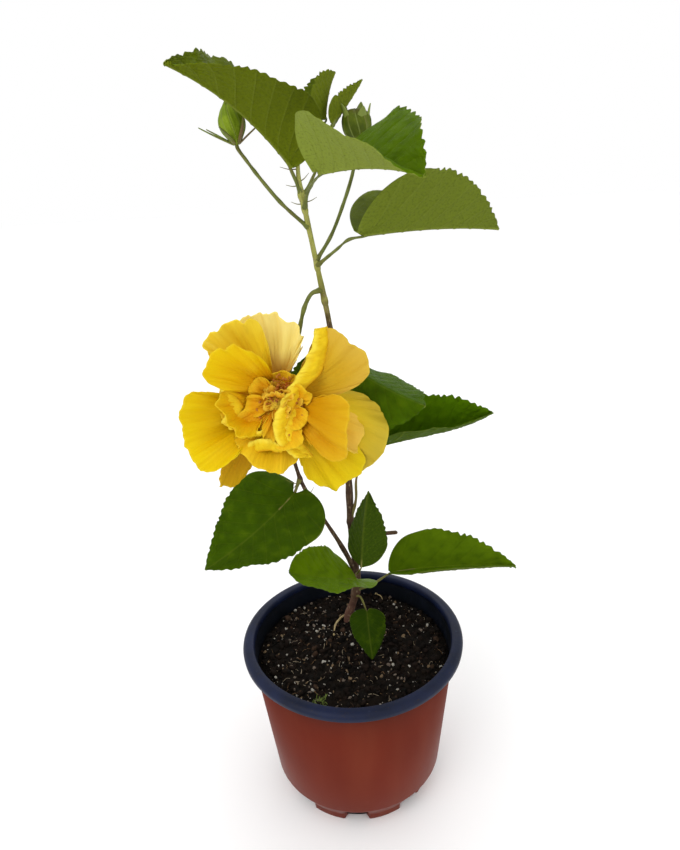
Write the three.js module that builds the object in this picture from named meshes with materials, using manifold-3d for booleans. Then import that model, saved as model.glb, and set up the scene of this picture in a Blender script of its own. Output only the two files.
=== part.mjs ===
// A young hibiscus in its nursery pot: one leaning stem, a side branch, broad folded leaves,
// two buds and one double bloom. Millimetres and degrees, +Z up.
// The origin is the middle of the flat underside of the pot, and the bloom faces -Y.
import * as THREE from "three";
import { mergeVertices } from "three/addons/utils/BufferGeometryUtils.js";
import Module from "manifold-3d";

const wasm = await Module();
wasm.setup();

// Clearance kept between pieces that touch on the real plant
const GAP = 0.3;

const POT = {
  height: 103,
  rimRadius: 65,
  rimDepth: 5,
  rimLip: 1.6,
  wallTopRadius: 59.8,
  wallFootRadius: 50.9,
  wallFootHeight: 15,
  footRadius: 44.8,
  footHeight: 5,
  footDraft: 0.6,
  edge: 0.6,
  wall: 1.6,
  floor: 2.4,
  notches: 8,
  notchDepth: 4.5,
  notchWidth: 16, // degrees
  notchTurn: -4,
  slotWidth: 7,
  slotHeight: 4,
  slotReach: 14,
  segments: 48,
};
const SOIL = { level: 91, edgeDrop: 1.6, edgeWidth: 3, clearance: 0.5 };
const LEAF_THICKNESS = 0.8;
const PETAL_THICKNESS = 0.9;
// A blade thins towards its narrow ends to this share of its half-width
const THINNEST = 0.3;
const STALK = { foot: 0.95, smallFoot: 0.75, tip: 0.8, smallLeaf: 50 };

const COLOUR = {
  terracotta: "#8a3f2c",
  rimBlue: "#3c4470",
  peat: "#1d1612",
  bark: "#4a3328",
  youngStem: "#6f8235",
  leaf: "#3f5c12",
  bud: "#5c7020",
  petal: "#e3ac10",
  heart: "#dd8a1c",
};

const plant = new THREE.Group();

function add(name, geometry, colour, roughness, parent = plant) {
  const material = new THREE.MeshStandardMaterial({ color: colour, roughness, metalness: 0 });
  const mesh = new THREE.Mesh(geometry, material);
  mesh.name = name;
  parent.add(mesh);
  return mesh;
}

const radians = THREE.MathUtils.degToRad;
const vector = ([x, y, z]) => new THREE.Vector3(x, y, z);

// ---- Turned pieces: a profile of [radius, height] points about the Z axis

function turned(profile, segments = POT.segments) {
  const points = profile.map(([radius, height]) => new THREE.Vector2(radius, height));
  return new THREE.LatheGeometry(points, segments).rotateX(Math.PI / 2);
}

function toSolid(geometry) {
  const bare = geometry.clone();
  bare.deleteAttribute("normal");
  bare.deleteAttribute("uv");
  const merged = mergeVertices(bare);
  return new wasm.Manifold(
    new wasm.Mesh({
      numProp: 3,
      vertProperties: merged.attributes.position.array,
      triVerts: new Uint32Array(merged.index.array),
    }),
  );
}

function toGeometry(solid) {
  const { vertProperties, triVerts } = solid.getMesh();
  const geometry = new THREE.BufferGeometry();
  geometry.setAttribute("position", new THREE.BufferAttribute(vertProperties, 3));
  geometry.setIndex(new THREE.BufferAttribute(triVerts, 1));
  return geometry;
}

// Inner radius of the pot wall at a height above the chamfered foot
function innerRadius(height) {
  const rise = POT.height - POT.rimDepth - POT.wallFootHeight;
  const share = (height - POT.wallFootHeight) / rise;
  const outer = THREE.MathUtils.lerp(POT.wallFootRadius, POT.wallTopRadius, share);
  return outer - POT.wall;
}

function potBody() {
  const wallTop = POT.height - POT.rimLip - GAP;
  const cup = turned([
    [0, 0],
    [POT.footRadius - POT.footDraft, 0],
    [POT.footRadius, POT.footHeight],
    [POT.wallFootRadius, POT.wallFootHeight],
    [innerRadius(wallTop) + POT.wall, wallTop],
    [innerRadius(wallTop), wallTop],
    [innerRadius(POT.wallFootHeight), POT.wallFootHeight + POT.edge],
    [POT.footRadius - POT.wall, POT.footHeight + POT.edge],
    [POT.footRadius - POT.wall, POT.floor],
    [0, POT.floor],
  ]);
  notchFoot(cup);
  const chamferMiddle = (POT.footHeight + POT.wallFootHeight) / 2;
  const drilled = Array.from({ length: POT.notches }, (_, index) => {
    const slot = new THREE.BoxGeometry(POT.slotReach, POT.slotWidth, POT.slotHeight);
    slot.translate((POT.footRadius - POT.notchDepth + POT.wallFootRadius) / 2, 0, chamferMiddle);
    slot.rotateZ((index * 2 * Math.PI) / POT.notches);
    return toSolid(slot);
  }).reduce((cupSolid, slot) => cupSolid.subtract(slot), toSolid(cup));
  return toGeometry(drilled).rotateZ(radians(POT.notchTurn));
}

// Presses the notches into the chamfer and the foot below it
function notchFoot(cup) {
  const places = cup.attributes.position;
  const pitch = (2 * Math.PI) / POT.notches;
  for (let i = 0; i < places.count; i++) {
    const reach = Math.hypot(places.getX(i), places.getY(i));
    const angle = Math.atan2(places.getY(i), places.getX(i));
    const off = Math.abs(angle - pitch * Math.round(angle / pitch));
    const low = places.getZ(i) < POT.footHeight + 2 * POT.edge;
    if (!low || reach < POT.footRadius / 2 || off > radians(POT.notchWidth) / 2) continue;
    const share = (reach - POT.notchDepth) / reach;
    places.setXY(i, places.getX(i) * share, places.getY(i) * share);
  }
}

// The rolled rim: a flat top over the wall and a lip that hangs outside it
function potRim() {
  const top = POT.height;
  const under = top - POT.rimLip;
  const inside = innerRadius(under);
  return turned([
    [inside, under],
    [POT.rimRadius - POT.rimLip, under],
    [POT.rimRadius - POT.rimLip, top - POT.rimDepth],
    [POT.rimRadius, top - POT.rimDepth],
    [POT.rimRadius, top - POT.edge],
    [POT.rimRadius - POT.edge, top],
    [inside + POT.edge, top],
    [inside, top - POT.edge],
    [inside, under],
  ]);
}

function soil() {
  const edge = SOIL.level - SOIL.edgeDrop;
  const foot = POT.footRadius - POT.notchDepth - POT.wall - SOIL.clearance;
  return turned([
    [0, POT.floor + GAP],
    [foot, POT.floor + GAP],
    [foot, POT.footHeight + 2 * SOIL.clearance],
    [innerRadius(POT.wallFootHeight) - SOIL.clearance, POT.wallFootHeight + 2 * SOIL.clearance],
    [innerRadius(edge) - SOIL.clearance, edge],
    [innerRadius(edge) - SOIL.edgeWidth, SOIL.level],
    [0, SOIL.level],
  ]);
}

add("pot_body", potBody(), COLOUR.terracotta, 0.5);
add("pot_rim", potRim(), COLOUR.rimBlue, 0.45);
add("soil", soil(), COLOUR.peat, 1);

// ---- Limbs: a cylinder bent along a smooth curve and tapered from foot to tip

// Share of the limb's length over which its root flare dies away
const FLARE_SPAN = 0.025;

class Limb {
  constructor({ through, foot, tip, sides = 6, steps = 8, flare = 0 }) {
    this.curve = new THREE.CatmullRomCurve3(through.map(vector), false, "centripetal");
    this.curve.arcLengthDivisions = 400;
    Object.assign(this, { foot, tip, sides, steps, flare });
  }

  radiusAt(share) {
    const flared = this.flare * Math.exp(-share / FLARE_SPAN);
    return THREE.MathUtils.lerp(this.foot, this.tip, share) + flared;
  }

  // Where the limb is, which way it runs and how thick it is at a height
  at(height) {
    const samples = 400;
    let share = 0;
    while (share < 1 && this.curve.getPointAt(share).z < height) share += 1 / samples;
    const clamped = Math.min(share, 1);
    return {
      point: this.curve.getPointAt(clamped),
      along: this.curve.getTangentAt(clamped),
      radius: this.radiusAt(clamped),
    };
  }

  geometry() {
    const shape = new THREE.CylinderGeometry(1, 1, 1, this.sides, this.steps);
    const frames = this.curve.computeFrenetFrames(this.steps, false);
    if (this.flare) {
      // a flat cut at the foot
      frames.normals[0].set(1, 0, 0);
      frames.binormals[0].set(0, 1, 0);
    }
    const places = shape.attributes.position;
    for (let i = 0; i < places.count; i++) {
      const share = places.getY(i) + 0.5;
      const ring = Math.round(share * this.steps);
      const radius = this.radiusAt(ring / this.steps);
      const place = this.curve
        .getPointAt(ring / this.steps)
        .addScaledVector(frames.normals[ring], places.getX(i) * radius)
        .addScaledVector(frames.binormals[ring], -places.getZ(i) * radius);
      places.setXYZ(i, place.x, place.y, place.z);
    }
    return shape;
  }
}

// The point where a thinner limb leaves a thicker one, just clear of its side
function leaving(stem, height, towards, radius) {
  const { point, along, radius: stemRadius } = stem.at(height);
  const away = towards.clone().sub(point).normalize();
  const lean = Math.abs(away.dot(along));
  const reach = (stemRadius + GAP + radius * lean) / Math.sqrt(1 - lean * lean);
  return point.addScaledVector(away, reach);
}

// ---- Blades: a leaf or petal as a thin sheet over a midrib that bends and a cross-section that folds

const BLADE = {
  heading: 0, // way the midrib sets out, from +X towards +Y
  rise: 0, // angle above level at the base
  bend: 0, // change of that angle by the tip
  sweep: 0, // change of heading by the tip
  roll: 0, // turn about the midrib
  twist: 0, // further turn by the tip
  foldLeft: 0, // lift of each half from flat
  foldRight: 0,
  curlLeft: 0, // further lift from midrib to margin
  curlRight: 0,
  lobe: 0.05, // how far the basal lobes reach back, as a share of the length
  lobeLeft: 0, // further reach of the left one
  shoulder: 0.5, // how early the outline widens
  taper: 0.95, // how slowly it narrows to the tip
  rows: 9,
  columns: 6,
};

function outline(share, shoulder, taper) {
  const widest = shoulder / (shoulder + taper);
  const most = widest ** shoulder * (1 - widest) ** taper;
  const kept = share * 0.999 + 0.0005;
  return (kept ** shoulder * (1 - kept) ** taper) / most;
}

class Blade {
  constructor(plan) {
    Object.assign(this, BLADE, plan);
    this.base = Array.isArray(plan.base) ? vector(plan.base) : plan.base;
    const pieces = 60;
    this.midrib = [this.base.clone()];
    for (let i = 1; i <= pieces; i++) {
      const { along } = this.frame((i - 0.5) / pieces);
      this.midrib.push(this.midrib[i - 1].clone().addScaledVector(along, this.length / pieces));
    }
  }

  frame(share) {
    const rise = radians(this.rise + this.bend * share);
    const heading = radians(this.heading + this.sweep * share);
    const roll = radians(this.roll + this.twist * share);
    const flat = new THREE.Vector3(Math.cos(heading), Math.sin(heading), 0);
    const along = flat.multiplyScalar(Math.cos(rise)).setZ(Math.sin(rise));
    const side = new THREE.Vector3(-Math.sin(heading), Math.cos(heading), 0);
    const up = along.clone().cross(side);
    const across = side.clone().multiplyScalar(Math.cos(roll)).addScaledVector(up, Math.sin(roll));
    return { along, across, up: along.clone().cross(across) };
  }

  halfWidth(share) {
    return this.width * outline(share, this.shoulder, this.taper) + 0.2;
  }

  // A point of the sheet: share runs from base to tip, side from -1 (right) to 1 (left)
  place(share, side) {
    const { along, across, up } = this.frame(share);
    const walk = share * (this.midrib.length - 1);
    const step = Math.min(Math.floor(walk), this.midrib.length - 2);
    const point = this.midrib[step].clone().lerp(this.midrib[step + 1], walk - step);
    const fold = side >= 0 ? this.foldLeft : this.foldRight;
    const curl = side >= 0 ? this.curlLeft : this.curlRight;
    const out = Math.abs(side);
    const lift = radians(fold + (curl * out) / 2);
    const width = this.halfWidth(share);
    const lobe = this.lobe + (side > 0 ? this.lobeLeft : 0);
    const back = lobe * this.length * out ** 1.3 * (1 - share) ** 3;
    return point
      .addScaledVector(across, side * width * Math.cos(lift))
      .addScaledVector(up, out * width * Math.sin(lift))
      .addScaledVector(along, -back);
  }

  normal(share, side) {
    const step = 0.01;
    const inside = THREE.MathUtils.clamp(share, step, 1 - step);
    const half = THREE.MathUtils.clamp(side, step - 1, 1 - step);
    const along = this.place(inside + step, half).sub(this.place(inside - step, half));
    const across = this.place(inside, half + step).sub(this.place(inside, half - step));
    return along.cross(across).normalize();
  }

  geometry(thickness) {
    const shape = new THREE.BoxGeometry(1, 1, 1, this.rows, this.columns, 1);
    const places = shape.attributes.position;
    for (let i = 0; i < places.count; i++) {
      const share = Math.max(places.getX(i) + 0.5, 0) ** 1.5;
      const side = places.getY(i) * 2;
      const depth = Math.min(thickness, THINNEST * this.halfWidth(share));
      const place = this.place(share, side);
      place.addScaledVector(this.normal(share, side), places.getZ(i) * depth);
      places.setXYZ(i, place.x, place.y, place.z);
    }
    return shape;
  }

  // Where its stalk ends: just under the base
  seat(radius, drop) {
    return this.base.clone().addScaledVector(this.frame(0).up, -(radius + drop + GAP));
  }
}

// ---- Stems

const mainStem = new Limb({
  through: [
    [-1.7, 26.3, SOIL.level + GAP],
    [-1.2, 26.1, 97],
    [1.2, 24.4, 105],
    [4, 21.6, 120],
    [4.2, 20, 138],
    [2.4, 18.2, 165],
    [2.6, 15, 197],
    [1, 13, 223],
    [-0.8, 11, 253],
    [-3, 8, 288],
    [-6.8, 5, 315],
    [-11, 3, 343],
    [-13.4, 2, 362],
    [-12, 2.4, 371],
    [-8, 2.8, 377.5],
    [-4, 3, 381],
  ],
  foot: 2.4,
  tip: 0.9,
  sides: 8,
  steps: 34,
  flare: 1.4,
});
add("main_stem", mainStem.geometry(), COLOUR.bark, 0.8);

const sideStart = leaving(mainStem, 131, vector([-2.3, 15, 151]), 1.5);
const sideBranch = new Limb({
  through: [
    sideStart.toArray(),
    [-2.3, 15, 151],
    [-10.6, 12, 170],
    [-19.6, 9, 190],
    [-25.4, 6, 210],
    [-27.2, 6, 229],
    [-24.5, 7, 243],
  ],
  foot: 1.5,
  tip: 0.9,
  sides: 8,
  steps: 14,
});
add("side_branch", sideBranch.geometry(), COLOUR.bark, 0.8);

const stubTip = [30, 22, 156.5];
const stub = new Limb({
  through: [leaving(mainStem, 155, vector(stubTip), 1.1).toArray(), [16, 20.4, 156.8], stubTip],
  foot: 1.1,
  tip: 1,
  steps: 4,
});
add("pruned_stub", stub.geometry(), COLOUR.bark, 0.9);

// A stalk from a stem through its bend points to a seat
function stalk(name, { stem, height, via = [], seat, foot, tip, steps = 7 }) {
  const first = via.length ? vector(via[0]) : seat;
  const start = leaving(stem, height, first, foot);
  const limb = new Limb({
    through: [start.toArray(), ...via, seat.toArray()],
    foot,
    tip,
    steps,
  });
  add(name, limb.geometry(), COLOUR.youngStem, 0.6);
}

// ---- Leaves, each on its own stalk: height is where the stalk leaves the stem, via its bends,
// and drop how far under the base it ends

const LEAVES = {
  top_left: {
    stem: mainStem, height: 353,
    base: [-15.9, 0.3, 365.3], heading: 221, rise: 50.5, bend: -31, sweep: 3, roll: -12, twist: -21,
    length: 73, width: 29, foldLeft: 51, foldRight: 32, curlRight: -5, lobe: 0.02, shoulder: 0.53,
  },
  top_young: {
    stem: mainStem, height: 378, via: [[-3.5, 6, 379.8]],
    base: [-0.3, 7.3, 384], heading: 65, rise: 74, bend: -38, sweep: -2, roll: -30,
    length: 24, width: 13, foldLeft: 64, foldRight: 68, lobe: 0, shoulder: 0.46,
    drop: 0.6,
  },
  top_narrow: {
    stem: mainStem, height: 351, via: [[-7.3, 3, 359], [-4.2, 0.2, 365], [-1.5, 0.5, 373]],
    base: [2.7, 4.5, 382], heading: 50, rise: 31, bend: 17, sweep: -10, roll: -62, twist: 14,
    length: 28, width: 8, foldLeft: 20, foldRight: 30, curlLeft: -3, curlRight: 8,
    lobe: 0.01, shoulder: 0.47,
  },
  top_cupped: {
    stem: mainStem, height: 346, via: [[-9.4, -4, 354]],
    base: [-3.2, -26, 364], heading: -44, rise: 10, bend: -20, sweep: -13, roll: -5, twist: 34,
    length: 60, width: 32, foldLeft: 39, foldRight: 52, curlLeft: -15, curlRight: -4,
    lobe: 0.03, shoulder: 0.53,
  },
  upper_right: {
    stem: mainStem, height: 319, via: [[2, -3, 327.6], [8.1, -9, 333]],
    base: [14.6, -14, 336], heading: 23, rise: 1, bend: -12, sweep: 12, roll: -9, twist: -4,
    length: 80, width: 30, foldLeft: 44, foldRight: 54, curlLeft: -2, curlRight: 2, shoulder: 0.51,
  },
  middle_right: {
    stem: mainStem, height: 266,
    base: [3.4, 5.6, 269.7], heading: -30, rise: -31, bend: 24, sweep: -9, roll: 23, twist: 20,
    length: 49, width: 29, foldLeft: -47, foldRight: -47, curlRight: -3, lobe: 0.1, shoulder: 0.55,
    drop: 0.7,
  },
  middle_long: {
    stem: mainStem, height: 168, via: [[6.1, 15, 184], [7.1, 13.5, 199], [12, 12, 210]],
    base: [22.8, 12, 220], heading: 5, rise: 5, bend: 9, sweep: 8, roll: 19, twist: 18,
    length: 63, width: 25, foldLeft: 62, foldRight: 48, curlLeft: 9, curlRight: 22,
    lobe: 0.07, shoulder: 0.65, drop: 0.2,
  },
  behind_bloom: {
    stem: sideBranch, height: 234, via: [[-23.4, 5.8, 235.5]],
    base: [-21, 7, 249], heading: 40, rise: 78, bend: -8, roll: 10,
    length: 24, width: 9, foldLeft: 20, foldRight: 20,
  },
  lower_left: {
    stem: sideBranch, height: 204,
    base: [-27.8, 3, 197], heading: 228, rise: -23, bend: 18, sweep: -4, roll: -27, twist: 3,
    length: 65, width: 27, foldLeft: 7, foldRight: 3, lobe: 0.09, shoulder: 0.35, drop: 0.9,
  },
  low_front: {
    stem: mainStem, height: 126,
    base: [4.3, 10.5, 133.3], heading: 215, rise: 25, bend: -3, sweep: -26, roll: -11, twist: -14,
    length: 45, width: 21, foldLeft: 28, foldRight: 14, curlLeft: 6, curlRight: -4, lobe: 0,
    lobeLeft: 0.17, shoulder: 0.34, taper: 0.46,
  },
  lower_right: {
    stem: mainStem, height: 116, via: [[13.3, 16, 124.5]],
    base: [24.2, 13, 135], heading: -3, rise: 9, bend: -18, sweep: 5, roll: 21,
    length: 75, width: 23, foldLeft: 42, foldRight: 43, curlLeft: -7, curlRight: 17,
    lobe: 0.01, shoulder: 0.53,
  },
  upright: {
    stem: mainStem, height: 129,
    base: [7.4, -1.3, 150.2], heading: -136, rise: 95, bend: 8, sweep: -12, roll: 28, twist: -11,
    length: 46, width: 14, foldLeft: 29, foldRight: 33, lobe: 0.01, shoulder: 0.47,
  },
  small_hanging: {
    stem: mainStem, height: 113, via: [[6.3, 15.5, 116]],
    base: [9.4, 6.5, 112.6], heading: -89, rise: -34, bend: -7, sweep: 6, roll: -7, twist: -5,
    length: 28, width: 11, foldLeft: -3, foldRight: 4, shoulder: 0.39,
  },
};

for (const [place, { stem, height, via, drop = 0.4, ...plan }] of Object.entries(LEAVES)) {
  const small = plan.length < STALK.smallLeaf;
  const blade = new Blade({ ...plan, rows: small ? 7 : 9, columns: small ? 4 : 6 });
  add(`leaf_${place}`, blade.geometry(LEAF_THICKNESS), COLOUR.leaf, 0.55);
  stalk(`stalk_${place}`, {
    stem,
    height,
    via,
    seat: blade.seat(STALK.tip, drop),
    foot: small ? STALK.smallFoot : STALK.foot,
    tip: STALK.tip,
  });
}

// ---- Buds, each an egg of sepals on a long stalk

const BUDS = {
  left: {
    height: 337, via: [[-21.9, 3, 349], [-30.2, 4, 359.5], [-36.7, 5, 368.7]],
    foot: [-40.3, 6, 375.2], tip: [-42.9, 8, 394], girth: 6.4,
  },
  right: {
    height: 321, via: [[0, 7, 332.6], [6.5, 10, 346.2], [11.9, 12, 360.6]],
    foot: [14.4, 13, 374.6], tip: [14.5, 13, 389], girth: 7,
  },
};
// Half-width and height of an egg of unit size, from foot to tip
const EGG = [[0, 0], [0.35, 0.03], [0.8, 0.2], [1, 0.48], [0.85, 0.75], [0.4, 0.95], [0, 1]];

for (const [place, { height, via, foot, tip, girth }] of Object.entries(BUDS)) {
  const axis = vector(tip).sub(vector(foot));
  const length = axis.length();
  axis.normalize();
  const egg = turned(EGG.map(([wide, far]) => [wide * girth, far * length]), 12);
  const bud = add(`bud_${place}`, egg, COLOUR.bud, 0.6);
  bud.position.copy(vector(foot));
  bud.quaternion.setFromUnitVectors(new THREE.Vector3(0, 0, 1), axis);
  const seat = vector(foot).addScaledVector(axis, -GAP);
  stalk(`stalk_bud_${place}`, {
    stem: mainStem,
    height,
    via,
    seat,
    foot: STALK.foot,
    tip: STALK.smallFoot,
  });
}

// ---- The double bloom: its own frame has +Z out of the throat, +X to the right and +Y up

const BLOOM = { throat: [-28.7, -15, 259.9], heading: -92, rise: 12 };
const CALYX = { back: -16, backRadius: 3, swell: 2.8, mouth: -3.2, mouthRadius: 7.2, depth: 4 };

const facing = new Blade({ ...BLOOM, base: BLOOM.throat, length: 1, width: 1 }).frame(0).along;
const right = new THREE.Vector3(0, 0, 1).cross(facing).normalize();
const bloom = new THREE.Group();
bloom.position.copy(vector(BLOOM.throat));
bloom.quaternion.setFromRotationMatrix(
  new THREE.Matrix4().makeBasis(right, facing.clone().cross(right), facing),
);
plant.add(bloom);

const cup = turned([
  [0, CALYX.back],
  [CALYX.backRadius, CALYX.back],
  [CALYX.backRadius + CALYX.swell, CALYX.back + CALYX.depth],
  [CALYX.mouthRadius - GAP, CALYX.mouth - CALYX.depth],
  [CALYX.mouthRadius, CALYX.mouth],
  [0, CALYX.mouth],
], 16);
add("calyx", cup, COLOUR.bud, 0.6, bloom);
stalk("stalk_bloom", {
  stem: mainStem,
  height: 307,
  via: [[-10.8, 4, 306.2], [-14.5, 2, 300.7], [-18.3, 0, 288.3], [-21.7, 0, 276.7], [-26.3, 4, 263]],
  seat: vector(BLOOM.throat).addScaledVector(facing, CALYX.back - 1 - GAP),
  foot: 1,
  tip: 1.2,
  steps: 9,
});

// The core the petals stand on: a cone up to its waist, then a head with five swellings
const CORE = { radius: 5, narrowing: 0.55, waist: 2.2, swellings: 5, swelling: 0.12, swellsOver: 8 };
const coreRadius = (level) => CORE.radius - CORE.narrowing * level;

function core() {
  const foot = CALYX.mouth + GAP;
  const lump = turned([
    [0, foot],
    [coreRadius(foot), foot],
    [coreRadius(CORE.waist), CORE.waist],
    [5.4, 6],
    [7.4, 10],
    [7, 14],
    [4, 17.5],
    [0, 18.5],
  ], 3 * CORE.swellings);
  const places = lump.attributes.position;
  for (let i = 0; i < places.count; i++) {
    const angle = Math.atan2(places.getY(i), places.getX(i));
    const above = THREE.MathUtils.clamp((places.getZ(i) - CORE.waist) / CORE.swellsOver, 0, 1);
    const swell = 1 + CORE.swelling * above * Math.cos(CORE.swellings * angle);
    places.setXY(i, places.getX(i) * swell, places.getY(i) * swell);
  }
  return lump;
}
add("core", core(), COLOUR.heart, 0.7, bloom);

// Petals from the back of the bloom to the front: level is where each stands on the core
const PETALS = {
  top: {
    level: -1.8, heading: 96, rise: 16, bend: 16, sweep: 4, roll: -10, twist: -4,
    length: 39, width: 18, foldLeft: 5, foldRight: 16, curlLeft: 2, curlRight: -8,
    shoulder: 1, taper: 0.4,
  },
  top_left: {
    level: -0.2, heading: 124, rise: 25, bend: 14, sweep: -6, roll: -4, twist: -2,
    length: 44, width: 15, foldLeft: -10, foldRight: 4, curlLeft: 0, curlRight: -1,
    shoulder: 1.1, taper: 0.3,
  },
  right_top: {
    level: 0.6, heading: 25, rise: 19, bend: -5, sweep: 23, roll: -1, twist: 4,
    length: 42, width: 15.5, foldLeft: -23, foldRight: 12, curlLeft: 10, curlRight: 0,
    shoulder: 0.9, taper: 0.23,
  },
  right_back: {
    level: -2.2, heading: -30, rise: -1, bend: 9, sweep: -14, roll: -4, twist: -4,
    length: 50, width: 23, foldLeft: -19, foldRight: -20, curlLeft: 2, curlRight: 2,
    shoulder: 0.7, taper: 0.44,
  },
  bottom: {
    level: -1.2, heading: -58, rise: 6, bend: -12, sweep: 6, roll: 8, twist: -7,
    length: 48, width: 16, foldLeft: 4, foldRight: -23, curlLeft: -6, curlRight: -1,
    shoulder: 0.8, taper: 0.22,
  },
  lower_back: {
    level: -2.2, heading: 230, rise: 11, bend: -10, sweep: 15, roll: -25, twist: -8,
    length: 46, width: 12, foldLeft: -25, foldRight: 37, curlLeft: -17, curlRight: 1,
    shoulder: 1.1, taper: 0.34,
  },
  lower_left: {
    level: -0.8, heading: 204, rise: 29, bend: -3, sweep: -14, roll: 4, twist: -2,
    length: 46, width: 20, foldLeft: 20, foldRight: 10, curlLeft: 0, curlRight: 1,
    shoulder: 1.1, taper: 0.23,
  },
  right_inner: {
    level: 0.2, heading: -29, rise: 18, bend: -31, sweep: -9, roll: -24, twist: -2,
    length: 40, width: 13, foldLeft: -5, foldRight: 39, curlLeft: -8, curlRight: 25,
    shoulder: 0.9, taper: 0.27,
  },
  lower_ruffle: {
    level: 0.8, heading: 253, rise: 22, bend: 21, sweep: 1, roll: -4, twist: -5,
    length: 33, width: 17, foldLeft: -22, foldRight: 22, curlLeft: -6, curlRight: -10,
    shoulder: 0.7, taper: 0.5,
  },
  left_ruffle: {
    level: 1, heading: 201, rise: 33, bend: 31, sweep: -16, roll: 3, twist: 0,
    length: 32, width: 14, foldLeft: 38, foldRight: -8, curlLeft: 18, curlRight: 1,
    shoulder: 1.1, taper: 0.32,
  },
  left_cup: {
    level: 1.6, heading: 130, rise: 45, bend: 1, sweep: 17, roll: -2, twist: -1,
    length: 46, width: 13, foldLeft: 0, foldRight: 21, curlLeft: -5, curlRight: 6,
    shoulder: 1, taper: 0.49,
  },
  right_cup: {
    level: 1.6, heading: -28, rise: 56, bend: -21, sweep: 13, roll: 0, twist: 12,
    length: 44, width: 16, foldLeft: -6, foldRight: -7, curlLeft: -10, curlRight: -8,
    shoulder: 1.1, taper: 0.22,
  },
};

for (const [place, { level, ...plan }] of Object.entries(PETALS)) {
  const heading = radians(plan.heading);
  const from = coreRadius(level) + 1.5 * GAP;
  const base = [from * Math.cos(heading), from * Math.sin(heading), level];
  const petal = new Blade({ ...plan, base, lobe: 0, rows: 7, columns: 4 });
  add(`petal_${place}`, petal.geometry(PETAL_THICKNESS), COLOUR.petal, 0.6, bloom);
}

export default plant;
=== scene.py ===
import math

import bmesh
import bpy
import numpy as np
from mathutils import Matrix, Vector, noise


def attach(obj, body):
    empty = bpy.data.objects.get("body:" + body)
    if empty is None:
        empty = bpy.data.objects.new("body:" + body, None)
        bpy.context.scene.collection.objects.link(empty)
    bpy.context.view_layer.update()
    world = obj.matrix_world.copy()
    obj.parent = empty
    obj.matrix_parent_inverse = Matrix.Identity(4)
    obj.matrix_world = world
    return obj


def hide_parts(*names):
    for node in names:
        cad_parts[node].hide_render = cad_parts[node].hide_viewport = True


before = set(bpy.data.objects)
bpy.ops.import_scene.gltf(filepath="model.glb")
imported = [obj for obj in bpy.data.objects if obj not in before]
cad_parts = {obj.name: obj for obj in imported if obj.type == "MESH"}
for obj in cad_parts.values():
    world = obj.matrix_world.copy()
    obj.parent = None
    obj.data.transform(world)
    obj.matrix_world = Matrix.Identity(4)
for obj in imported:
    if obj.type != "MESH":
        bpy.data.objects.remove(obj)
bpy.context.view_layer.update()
mm = 0.001  # lengths below are millimetres unless a note says metres
print("frame loaded")


# Shader helpers: arithmetic on a Wire adds Math nodes


def tone(code):  # a display colour such as "#8a3f2c" as linear RGBA
    parts = [int(code[i:i + 2], 16) / 255 for i in (1, 3, 5)]
    return (*[c / 12.92 if c <= 0.04045 else ((c + 0.055) / 1.055) ** 2.4 for c in parts], 1.0)


class Wire:
    def __init__(self, paint, socket):
        self.paint, self.socket = paint, socket

    def math(self, operation, *values):
        return self.paint.node("Math", {"operation": operation}, dict(enumerate(values)))

    def __add__(self, other):
        return self.math("ADD", self, other)

    def __radd__(self, other):
        return self.math("ADD", other, self)

    def __sub__(self, other):
        return self.math("SUBTRACT", self, other)

    def __rsub__(self, other):
        return self.math("SUBTRACT", other, self)

    def __mul__(self, other):
        return self.math("MULTIPLY", self, other)

    def __rmul__(self, other):
        return self.math("MULTIPLY", other, self)

    def __truediv__(self, other):
        return self.math("DIVIDE", self, other)

    def __rtruediv__(self, other):
        return self.math("DIVIDE", other, self)

    def __abs__(self):
        return self.math("ABSOLUTE", self)

    def fraction(self):
        return self.math("FRACT", self)

    def step(self, low, high):  # 0 below low, 1 above high, smooth between
        limits = {"Value": self, "From Min": low, "From Max": high}
        return self.paint.node("MapRange", {"interpolation_type": "SMOOTHSTEP"}, limits)


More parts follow.
